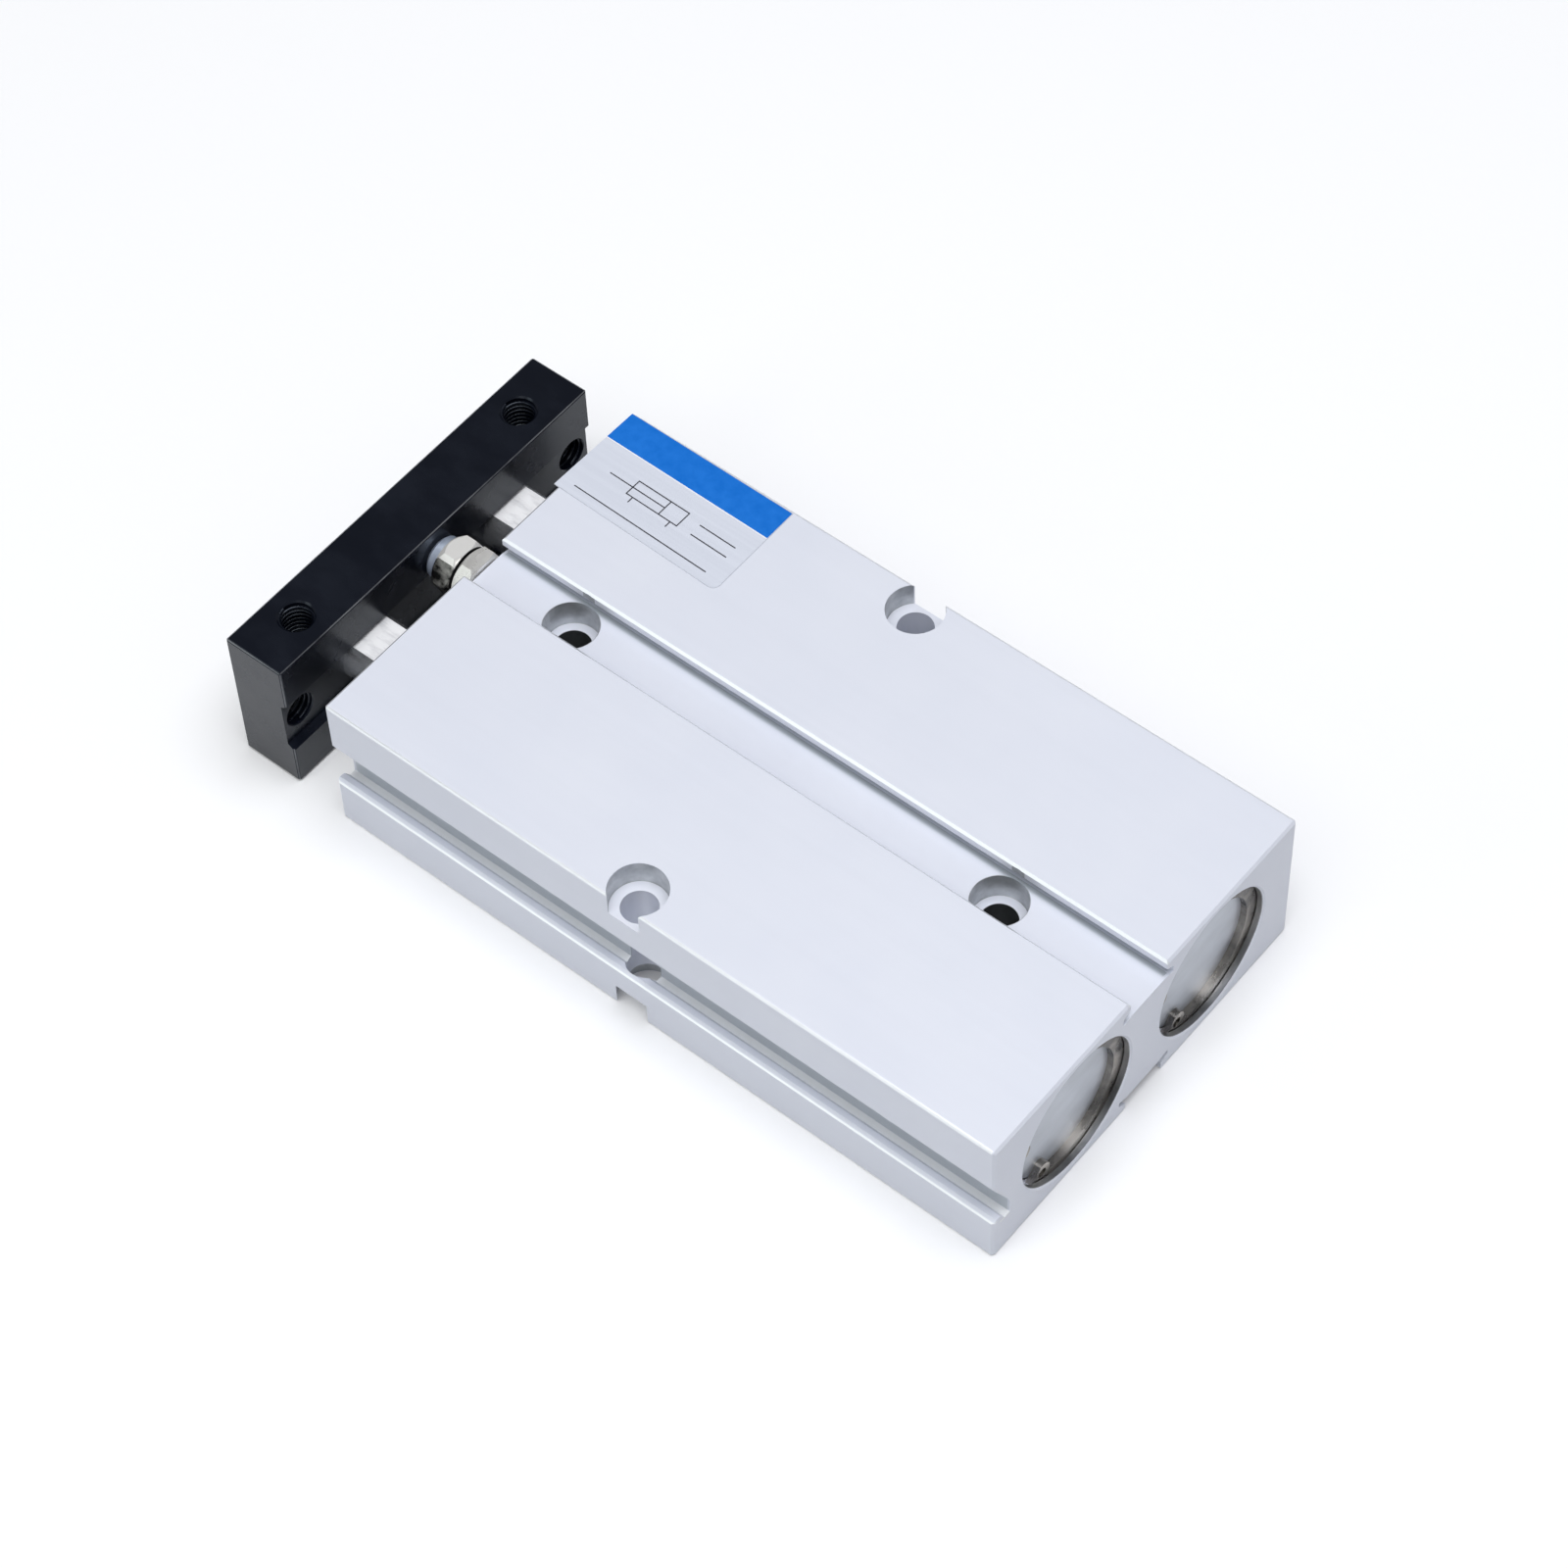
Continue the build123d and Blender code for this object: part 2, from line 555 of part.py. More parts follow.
def end_plate():
    """The plate that joins both rods, whose flats fit the groove in its back."""
    middle_height = PLATE_RAISE + PLATE_HEIGHT / 2
    plate = Pos(PLATE_MIDDLE, 0, middle_height) * Box(PLATE_THICKNESS, PLATE_WIDTH, PLATE_HEIGHT)
    plate = chamfer(plate.edges(), PLATE_EDGE_CHAMFER)
    groove = Plane.XZ * make_face(Polyline(
        (PLATE_BACK - OVERCUT, GROOVE_MOUTH_BOTTOM),
        (PLATE_BACK, GROOVE_MOUTH_BOTTOM),
        (PLATE_BACK + GROOVE_DEPTH, GROOVE_FLOOR_BOTTOM),
        (PLATE_BACK + GROOVE_DEPTH, GROOVE_FLOOR_TOP),
        (PLATE_BACK, GROOVE_MOUTH_TOP),
        (PLATE_BACK - OVERCUT, GROOVE_MOUTH_TOP),
        close=True,
    ))
    plate -= extrude(groove, amount=PLATE_WIDTH, both=True)

    for y in SIDES.values():
        plate -= rod_axis(rod_along_x(PLATE_BACK, PLATE_FRONT, ROD_SCREW_DIAMETER / 2 + SCREW_CLEARANCE), y)
        head_hole = rod_along_x(ROD_SCREW_SEAT, PLATE_FRONT, ROD_SCREW_HEAD_DIAMETER / 2 + SCREW_CLEARANCE)
        plate -= rod_axis(head_hole, y)
    for side in (-1, 1):
        plate -= tapped_from_above(side * PLATE_TOP_HOLE_SPACING / 2)
        plate -= tapped_through(side * PLATE_FACE_HOLE_SPACING / 2)
    stop_hole = STOP_BOLT_DIAMETER / 2 + THREAD_CLEARANCE
    return plate - Pos(0, 0, STOP_BOLT_HEIGHT) * rod_along_x(PLATE_BACK, PLATE_FRONT, stop_hole)


def tapped_from_above(y):
    """Tapped holes in the plate's top and bottom, with countersunk mouths."""
    cut = countersunk_hole(PLATE_THREAD_DIAMETER, PLATE_TOP_HOLE_DEPTH, PLATE_TOP_HOLE_MOUTH)
    from_below = Pos(PLATE_MIDDLE, y, PLATE_RAISE) * cut
    from_above = Pos(PLATE_MIDDLE, y, PLATE_TOP) * Rot(180, 0, 0) * cut
    return from_below + from_above


def tapped_through(y):
    """A tapped hole through the plate's thickness, countersunk on both sides."""
    thread = PLATE_THREAD_DIAMETER / 2
    mouth = PLATE_FACE_HOLE_MOUTH / 2
    depth = mouth - thread
    return rod_axis(turned(
        (ROD_FRONT, 0),
        (ROD_FRONT, mouth),
        (ROD_FRONT + depth, thread),
        (PLATE_FRONT - depth, thread),
        (PLATE_FRONT, mouth),
        (PLATE_FRONT, 0),
    ), y)


def socket_screw(head_seat, direction, shank, head, socket):
    """A socket head cap screw whose head points along direction (+1 or -1) in X.

    shank and head are (diameter, length) and socket is (across flats, depth).
    """
    diameter, length = shank
    head_diameter, head_length = head
    across_flats, depth = socket
    chamfer_size = SCREW_EDGE_CHAMFER
    screw = turned(
        (-length, 0),
        (-length, diameter / 2 - chamfer_size),
        (-length + chamfer_size, diameter / 2),
        (0, diameter / 2),
        (0, head_diameter / 2),
        (head_length - chamfer_size, head_diameter / 2),
        (head_length, head_diameter / 2 - chamfer_size),
        (head_length, 0),
    )
    screw -= hex_along_x(head_length - depth, head_length, across_flats)
    turn = Rot(0, 0, 0) if direction > 0 else Rot(0, 0, 180)
    return Pos(head_seat, 0, 0) * turn * screw


def rod_screw():
    """The screw that holds the plate on one rod."""
    shank_length = ROD_SCREW_SEAT - ROD_FRONT + ROD_SCREW_ENGAGEMENT
    return socket_screw(
        ROD_SCREW_SEAT,
        1,
        (ROD_SCREW_DIAMETER, shank_length),
        (ROD_SCREW_HEAD_DIAMETER, ROD_SCREW_HEAD_LENGTH),
        (ROD_SCREW_SOCKET, ROD_SCREW_SOCKET_DEPTH),
    )


def piston_screw():
    """The screw that holds a piston on its rod."""
    return socket_screw(
        PISTON_SCREW_SEAT,
        -1,
        (PISTON_SCREW_DIAMETER, PISTON_SCREW_ENGAGEMENT),
        (PISTON_SCREW_HEAD_DIAMETER, PISTON_SCREW_HEAD_LENGTH),
        (PISTON_SCREW_SOCKET, PISTON_SCREW_SOCKET_DEPTH),
    )


# The stop bolt's pieces, from the body forwards
STOP_HEAD_REAR = STOP_GAP
STOP_HEAD_FRONT = STOP_HEAD_REAR + STOP_HEAD_THICKNESS
STOP_NUT_REAR = STOP_HEAD_FRONT + STOP_HEAD_TO_NUT
STOP_NUT_FRONT = STOP_NUT_REAR + STOP_NUT_THICKNESS


def chamfered_hex(x_rear, x_front, rear_chamfer, front_chamfer):
    """A hexagon for the stop bolt, with its corners turned off at either end.

    A chamfer is (its length along X, how far it reaches in from the flats).
    """
    flat = STOP_BOLT_ACROSS_FLATS / 2
    corner = flat / cos(radians(30))
    rear_length, rear_reach = rear_chamfer
    front_length, front_reach = front_chamfer
    prism = hex_along_x(x_rear, x_front, STOP_BOLT_ACROSS_FLATS, STOP_BOLT_TURN)
    envelope = turned(
        (x_rear, 0),
        (x_rear, flat - rear_reach),
        (x_rear + rear_length, corner),
        (x_front - front_length, corner),
        (x_front, flat - front_reach),
        (x_front, 0),
    )
    return prism & envelope


def stop_bolt():
    """The hexagon bolt that meets the body when the rods are in."""
    head = chamfered_hex(STOP_HEAD_REAR, STOP_HEAD_FRONT, HEAD_CHAMFER, HEAD_CHAMFER)
    shank_end = PLATE_FRONT - STOP_BOLT_END_RECESS
    shank = turned(
        (STOP_HEAD_REAR + OVERCUT, 0),
        (STOP_HEAD_REAR + OVERCUT, STOP_BOLT_DIAMETER / 2),
        (shank_end - SCREW_EDGE_CHAMFER, STOP_BOLT_DIAMETER / 2),
        (shank_end, STOP_BOLT_DIAMETER / 2 - SCREW_EDGE_CHAMFER),
        (shank_end, 0),
    )
    return Pos(0, 0, STOP_BOLT_HEIGHT) * (head + shank)


def stop_lock_nut():
    """The thin nut that locks the stop bolt."""
    nut = chamfered_hex(STOP_NUT_REAR, STOP_NUT_FRONT, HEAD_CHAMFER, LOCK_NUT_CHAMFER)
    hole = STOP_BOLT_DIAMETER / 2 + THREAD_CLEARANCE
    nut -= rod_along_x(STOP_NUT_REAR, STOP_NUT_FRONT, hole)
    return Pos(0, 0, STOP_BOLT_HEIGHT) * nut


def stop_washer():
    """The thick washer that fills the space from the lock nut to the plate."""
    hole = STOP_BOLT_DIAMETER / 2 + THREAD_CLEARANCE
    rim = STOP_WASHER_DIAMETER / 2
    disc = turned(
        (STOP_NUT_FRONT, hole),
        (STOP_NUT_FRONT, rim - STOP_WASHER_REAR_CHAMFER),
        (STOP_NUT_FRONT + STOP_WASHER_REAR_CHAMFER, rim),
        (PLATE_BACK - STOP_WASHER_FRONT_CHAMFER, rim),
        (PLATE_BACK, rim - STOP_WASHER_FRONT_CHAMFER),
        (PLATE_BACK, hole),
    )
    return Pos(0, 0, STOP_BOLT_HEIGHT) * disc


os.makedirs("parts", exist_ok=True)

write(cylinder_body(), "cylinder_body")
write(end_plate(), "end_plate")
for side, y in SIDES.items():
    write(rod_axis(rod_cover(), y), f"rod_cover_{side}")
    write(rod_axis(rod_bush(), y), f"rod_bush_{side}")
    write(rod_axis(rod_seal(), y), f"rod_seal_{side}")
    write(rod_axis(rod_bumper(), y), f"rod_bumper_{side}")
    write(rod_axis(cover_oring(ROD_COVER_FRONT - ROD_COVER_ORING_INSET), y), f"front_oring_{side}")
    write(rod_axis(retaining_ring(ROD_COVER_FRONT), y), f"front_retaining_ring_{side}")
    write(rod_axis(rear_cover(), y), f"rear_cover_{side}")
    write(rod_axis(cover_oring((REAR_COVER_REAR + REAR_COVER_FRONT) / 2), y), f"rear_oring_{side}")
    write(rod_axis(retaining_ring(REAR_COVER_REAR - RING_THICKNESS), y), f"rear_retaining_ring_{side}")
    write(rod_axis(piston_rod(), y), f"piston_rod_{side}")
    write(rod_axis(piston(side == "near"), y), f"piston_{side}")
    write(rod_axis(wear_ring(), y), f"piston_wear_ring_{side}")
    write(rod_axis(piston_seal(), y), f"piston_seal_{side}")
write(rod_axis(piston_magnet(), SIDES["near"]), "piston_magnet")
write(Compound([rod_axis(piston_screw(), y) for y in SIDES.values()]), "piston_screws")
write(Compound([rod_axis(rod_screw(), y) for y in SIDES.values()]), "plate_screws")
write(stop_bolt(), "stop_bolt")
write(stop_lock_nut(), "stop_lock_nut")
write(stop_washer(), "stop_washer")
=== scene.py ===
import math
import bmesh
import bpy
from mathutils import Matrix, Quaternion, Vector


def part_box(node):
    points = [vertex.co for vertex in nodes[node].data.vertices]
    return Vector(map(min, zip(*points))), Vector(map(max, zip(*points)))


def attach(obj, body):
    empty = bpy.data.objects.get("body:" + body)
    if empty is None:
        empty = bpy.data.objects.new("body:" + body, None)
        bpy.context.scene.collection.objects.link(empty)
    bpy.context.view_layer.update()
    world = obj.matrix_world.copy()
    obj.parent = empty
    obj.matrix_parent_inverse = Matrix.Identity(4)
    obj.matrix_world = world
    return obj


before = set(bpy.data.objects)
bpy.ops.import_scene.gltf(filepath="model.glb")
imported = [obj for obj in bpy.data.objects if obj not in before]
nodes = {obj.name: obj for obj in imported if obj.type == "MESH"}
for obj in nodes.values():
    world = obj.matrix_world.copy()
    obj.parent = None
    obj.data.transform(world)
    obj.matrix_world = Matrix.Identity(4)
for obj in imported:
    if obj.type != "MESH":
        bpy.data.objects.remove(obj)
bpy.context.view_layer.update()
mm = 0.001

bodyLow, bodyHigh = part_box("cylinder_body")
plateLow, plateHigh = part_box("end_plate")
frontFace = bodyHigh.x
rearFace = bodyLow.x
topFace = bodyHigh.z
boreHeight = (bodyLow.z + bodyHigh.z) / 2
print("frame loaded:", len(nodes), "nodes")


# Camera: the photograph's angle, worked out for a frame of 1600 x 1600
cameraSettings = {
    "azimuth": -138.61,
    "elevation": 54.386,
    "distance": 0.61499,
    "aim": (-0.003384, -0.002444, 0.0126),
    "roll": -2.793,
    "lens": 105.62,
    "sensor": 36.0,
    "clip": (0.01, 20.0),
}


def makeCamera(user):
    azimuth = math.radians(user["azimuth"])
    elevation = math.radians(user["elevation"])
    back = Vector((
        math.sin(azimuth) * math.cos(elevation),
        -math.cos(azimuth) * math.cos(elevation),
        math.sin(elevation),
    ))
    data = bpy.data.cameras.new("photoCamera")
    data.lens = user["lens"]
    data.sensor_width = user["sensor"]
    data.clip_start, data.clip_end = user["clip"]
    camera = bpy.data.objects.new("photoCamera", data)
    bpy.context.scene.collection.objects.link(camera)
    camera.rotation_mode = "QUATERNION"
    camera.location = Vector(user["aim"]) + back * user["distance"]
    roll = Quaternion((0, 0, 1), math.radians(user["roll"]))
    camera.rotation_quaternion = (-back).to_track_quat("-Z", "Y") @ roll
    bpy.context.scene.camera = camera


makeCamera(cameraSettings)
print("camera placed")


# Floor, lamps and world
studio = {
    "floorSize": 12.0,
    "floorDrop": 0.05 * mm,  # a hair below the body, so that the two never share a plane
    "floorSeen": (0.95, 0.95, 0.955, 1),  # what the camera and reflections see
    "floorRoughness": 0.9,
    "floorSpecular": 0.1,
    "floorGlow": (0.06, 0.85),  # near the object and far from it, so that the backdrop stays pale
    "floorGlowReach": (0.25, 2.0),  # from the middle of the floor
    "floorBounce": (0.60, 0.61, 0.63, 1),  # what the floor throws back as light
    "skyOverhead": (0.17, 0.17, 0.175, 1),
    "skyHorizon": (0.27, 0.275, 0.28, 1),
    "skyFadeTop": 0.90,
    "lamps": [
        # name, place, size, watts, colour
        ("softTop", (-0.16, 0.0, 1.30), 1.0, 12.6, (0.95, 0.965, 1.0)),
        ("softNear", (-0.12, 0.62, 1.12), 0.9, 3.4, (1.0, 1.0, 0.98)),
        ("slotSide", (0.55, 1.20, 0.60), 0.7, 1.9, (0.93, 1.0, 0.98)),
    ],
}


def paleFloor(user):
    mat = bpy.data.materials.new("paleFloor")
    mat.use_nodes = True
    tree = mat.node_tree
    seen = tree.nodes["Principled BSDF"]
    seen.inputs["Base Color"].default_value = user["floorSeen"]
    seen.inputs["Roughness"].default_value = user["floorRoughness"]
    seen.inputs["Specular IOR Level"].default_value = user["floorSpecular"]
    seen.inputs["Emission Color"].default_value = (1, 1, 1, 1)
    place = tree.nodes.new("ShaderNodeTexCoord")
    away = tree.nodes.new("ShaderNodeVectorMath")
    away.operation = "LENGTH"
    tree.links.new(place.outputs["Object"], away.inputs[0])
    glow = tree.nodes.new("ShaderNodeMapRange")
    tree.links.new(away.outputs["Value"], glow.inputs["Value"])
    nearBy, farOff = user["floorGlowReach"]
    faint, bright = user["floorGlow"]
    glow.inputs["From Min"].default_value = nearBy
    glow.inputs["From Max"].default_value = farOff
    glow.inputs["To Min"].default_value = faint
    glow.inputs["To Max"].default_value = bright
    tree.links.new(glow.outputs["Result"], seen.inputs["Emission Strength"])
    bounce = tree.nodes.new("ShaderNodeBsdfDiffuse")
    bounce.inputs["Color"].default_value = user["floorBounce"]
    path = tree.nodes.new("ShaderNodeLightPath")
    direct = path.outputs["Is Camera Ray"]
    for kind in ("Is Glossy Ray", "Is Transmission Ray"):
        either = tree.nodes.new("ShaderNodeMath")
        either.operation = "MAXIMUM"
        tree.links.new(direct, either.inputs[0])
        tree.links.new(path.outputs[kind], either.inputs[1])
        direct = either.outputs[0]
    mix = tree.nodes.new("ShaderNodeMixShader")
    tree.links.new(direct, mix.inputs["Fac"])
    tree.links.new(bounce.outputs["BSDF"], mix.inputs[1])
    tree.links.new(seen.outputs["BSDF"], mix.inputs[2])
    tree.links.new(mix.outputs["Shader"], tree.nodes["Material Output"].inputs["Surface"])
    return mat


def softSky(world, user):
    # pale at the horizon and dark overhead, so that metal has something to mirror
    world.use_nodes = True
    tree = world.node_tree
    direction = tree.nodes.new("ShaderNodeTexCoord")
    split = tree.nodes.new("ShaderNodeSeparateXYZ")
    tree.links.new(direction.outputs["Generated"], split.inputs[0])
    ramp = tree.nodes.new("ShaderNodeValToRGB")
    ramp.color_ramp.elements[0].color = user["skyHorizon"]
    ramp.color_ramp.elements[1].color = user["skyOverhead"]
    ramp.color_ramp.elements[1].position = user["skyFadeTop"]
    tree.links.new(split.outputs["Z"], ramp.inputs["Fac"])
    tree.links.new(ramp.outputs["Color"], tree.nodes["Background"].inputs["Color"])


def makeStudio(user):
    bpy.ops.mesh.primitive_plane_add(size=user["floorSize"], location=(0, 0, bodyLow.z - user["floorDrop"]))
    floor = bpy.context.object
    floor.name = "studioFloor"
    floor.data.materials.append(paleFloor(user))

    world = bpy.data.worlds.new("studioWorld")
    bpy.context.scene.world = world
    softSky(world, user)

    for name, place, size, watts, colour in user["lamps"]:
        data = bpy.data.lights.new(name, "AREA")
        data.shape = "DISK"
        data.size = size
        data.energy = watts
        data.color = colour
        lamp = bpy.data.objects.new(name, data)
        lamp.location = place
        lamp.rotation_euler = (-Vector(place)).to_track_quat("-Z", "Y").to_euler()
        bpy.context.scene.collection.objects.link(lamp)
    bpy.context.scene.view_settings.view_transform = "Standard"


makeStudio(studio)
print("studio lit")


# Finishes: each is a node tree on Object coordinates
class Finish:
    def __init__(self, name, colour, metallic, roughness):
        self.material = bpy.data.materials.new(name)
        self.material.use_nodes = True
        self.tree = self.material.node_tree
        self.shader = self.tree.nodes["Principled BSDF"]
        self.shader.inputs["Base Color"].default_value = (*colour, 1)
        self.shader.inputs["Metallic"].default_value = metallic
        self.shader.inputs["Roughness"].default_value = roughness
        self.coordinates = self.tree.nodes.new("ShaderNodeTexCoord")
        self.height = None

    def add(self, kind, **settings):
        node = self.tree.nodes.new(kind)
        for key, value in settings.items():
            setattr(node, key, value)
        return node

    def link(self, out, into):
        self.tree.links.new(out, into)

    def place(self, scale, location=(0, 0, 0)):
        # Object coordinates moved to a centre, then scaled, so a pattern can be stretched along an axis
        move = self.add("ShaderNodeVectorMath", operation="SUBTRACT")
        self.link(self.coordinates.outputs["Object"], move.inputs[0])
        move.inputs[1].default_value = location
        stretch = self.add("ShaderNodeVectorMath", operation="MULTIPLY")
        self.link(move.outputs[0], stretch.inputs[0])
        stretch.inputs[1].default_value = scale
        return stretch.outputs[0]

    def grain(self, scale, detail=3.0, roughness=0.6, location=(0, 0, 0)):
        noise = self.add("ShaderNodeTexNoise")
        noise.inputs["Scale"].default_value = 1.0
        noise.inputs["Detail"].default_value = detail
        noise.inputs["Roughness"].default_value = roughness
        self.link(self.place(scale, location), noise.inputs["Vector"])
        return noise.outputs["Fac"]

    def count(self, operation, first, second=0.0):
        node = self.add("ShaderNodeMath", operation=operation)
        for socket, value in zip(node.inputs, (first, second)):
            if isinstance(value, (int, float)):
                socket.default_value = value
            else:
                self.link(value, socket)
        return node.outputs[0]

    def axis(self, letter, location=(0, 0, 0)):
        split = self.add("ShaderNodeSeparateXYZ")
        self.link(self.place((1, 1, 1), location), split.inputs[0])
        return split.outputs[letter]

    def distance(self, centre, across):
        # from a line through the centre; across is 0 along that line
        far = self.add("ShaderNodeVectorMath", operation="LENGTH")
        self.link(self.place(across, centre), far.inputs[0])
        return far.outputs["Value"]

    def within(self, centre, across, radius):
        return self.count("LESS_THAN", self.distance(centre, across), radius)

    def wall(self, centre, across, radius, slack=0.08 * mm):
        # 1 on a round wall of this radius
        off = self.count("ABSOLUTE", self.count("SUBTRACT", self.distance(centre, across), radius))
        return self.count("LESS_THAN", off, slack)

    def between(self, value, low, high):
        above = self.count("GREATER_THAN", value, low)
        return self.count("MULTIPLY", above, self.count("LESS_THAN", value, high))

    def anyOf(self, masks):
        total = masks[0]
        for mask in masks[1:]:
            total = self.count("MAXIMUM", total, mask)
        return total

    def boxEdges(self, low, high, width, line):
        # 1 on the broken edges of a box, fading away from the middle of each over a line's width
        centre = (low + high) / 2
        half = (high - low) / 2
        inward = self.add("ShaderNodeVectorMath", operation="ABSOLUTE")
        self.link(self.place((1, 1, 1), centre), inward.inputs[0])
        depth = self.add("ShaderNodeVectorMath", operation="SUBTRACT")
        depth.inputs[0].default_value = half
        self.link(inward.outputs[0], depth.inputs[1])
        split = self.add("ShaderNodeSeparateXYZ")
        self.link(depth.outputs[0], split.inputs[0])
        x, y, z = split.outputs
        total = self.count("ADD", self.count("ADD", x, y), z)
        largest = self.count("MAXIMUM", self.count("MAXIMUM", x, y), z)
        pair = self.count("SUBTRACT", total, largest)
        least = self.count("MINIMUM", self.count("MINIMUM", x, y), z)
        uneven = self.count("SUBTRACT", pair, self.count("MULTIPLY", least, 2.0))
        return self.count(
            "MULTIPLY",
            self.spread(pair, 1.0, 0.0, width, 1.3 * width),
            self.spread(uneven, 1.0, 0.0, line, 1.6 * line),
        )

    def spread(self, value, low, high, fromLow=0.3, fromHigh=0.7):
        ramp = self.add("ShaderNodeMapRange")
        self.link(value, ramp.inputs["Value"])
        ramp.inputs["From Min"].default_value = fromLow
        ramp.inputs["From Max"].default_value = fromHigh
        ramp.inputs["To Min"].default_value = low
        ramp.inputs["To Max"].default_value = high
        return ramp.outputs["Result"]

    def shades(self, value, dark, light, fromLow=0.3, fromHigh=0.7):
        ramp = self.add("ShaderNodeValToRGB")
        ramp.color_ramp.elements[0].position = fromLow
        ramp.color_ramp.elements[0].color = (*dark, 1)
        ramp.color_ramp.elements[1].position = fromHigh
        ramp.color_ramp.elements[1].color = (*light, 1)
        self.link(value, ramp.inputs["Fac"])
        return ramp.outputs["Color"]

    def tint(self, value, dark, light, fromLow=0.3, fromHigh=0.7):
        self.link(self.shades(value, dark, light, fromLow, fromHigh), self.shader.inputs["Base Color"])

    def rough(self, value, low, high, fromLow=0.3, fromHigh=0.7):
        self.link(self.spread(value, low, high, fromLow, fromHigh), self.shader.inputs["Roughness"])

    def overlay(self, mask, colour, metallic, roughness):
        # where the mask is 1, the surface takes these values instead
        for name, value in (("Base Color", colour), ("Metallic", metallic), ("Roughness", roughness)):
            socket = self.shader.inputs[name]
            isColour = name == "Base Color"
            mix = self.add("ShaderNodeMix", data_type="RGBA" if isColour else "FLOAT")
            before, after, result = (6, 7, 2) if isColour else (2, 3, 0)
            self.link(mask, mix.inputs[0])
            if socket.is_linked:
                self.link(socket.links[0].from_socket, mix.inputs[before])
            else:
                mix.inputs[before].default_value = socket.default_value
            if isinstance(value, bpy.types.NodeSocket):
                self.link(value, mix.inputs[after])
            else:
                mix.inputs[after].default_value = (*value, 1) if isColour else value
            self.link(mix.outputs[result], socket)

    def bump(self, value, strength, distance):
        node = self.add("ShaderNodeBump")
        node.inputs["Strength"].default_value = strength
        node.inputs["Distance"].default_value = distance
        self.link(value, node.inputs["Height"])
        if self.height is not None:
            self.link(self.height, node.inputs["Normal"])
        self.height = node.outputs["Normal"]
        self.link(self.height, self.shader.inputs["Normal"])


sides = ("near", "far")
boreCentres = []
for side in sides:
    low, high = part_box("rear_cover_" + side)
    boreCentres.append((low.y + high.y) / 2)

# where the body is machined: X from its front face, depths in from its top and its base
machining = {
    "seatRadius": 11.35 * mm,
    "channelHoles": (-15.5 * mm, -88.2 * mm),
    "edgeHoles": -51.85 * mm,
    "edgeHoleSide": 28.8 * mm,
    "channelCounterbore": 3.95 * mm,
    "channelCounterboreDepths": (0.1 * mm, 7.6 * mm),
    "edgeCounterbore": 4.15 * mm,
    "edgeCounterboreDepths": (0.1 * mm, 4.05 * mm),
    "edgeCounterboreInset": 0.1 * mm,
    "hole": 2.65 * mm,
    "portPlaces": (-34.7 * mm, -101.3 * mm),
    "portRadius": 2.9 * mm,
    "portReach": 9.0 * mm,
}

# the channels, the slot and the edges: depths as above, insets from the slot's side, heights from the base
bodyForm = {
    "underLipShade": (3.3 * mm, 4.0 * mm, 5.4 * mm),  # starts, is full and ends, from the middle
    "underLipDepths": (1.45 * mm, 3.2 * mm),
    "underLipEnds": 0.4 * mm,
    "slotBackHeights": (7.19 * mm, 11.5 * mm),
    "slotBackInsets": (3.2 * mm, 3.5 * mm),
    "slotFloorHeights": (6.9 * mm, 7.19 * mm),
    "slotFloorInsets": (1.4 * mm, 3.38 * mm),
    "channelMouth": 3.9 * mm,
    "lipWidth": 0.36 * mm,
    "lipDepth": 0.4 * mm,
    "slotLipHeights": (8.0 * mm, 8.26 * mm),
    "slotLipInset": 0.7 * mm,
    "edgeWidth": 0.36 * mm,
    "edgeLine": 0.26 * mm,
    "plainRear": 0.5 * mm,
}


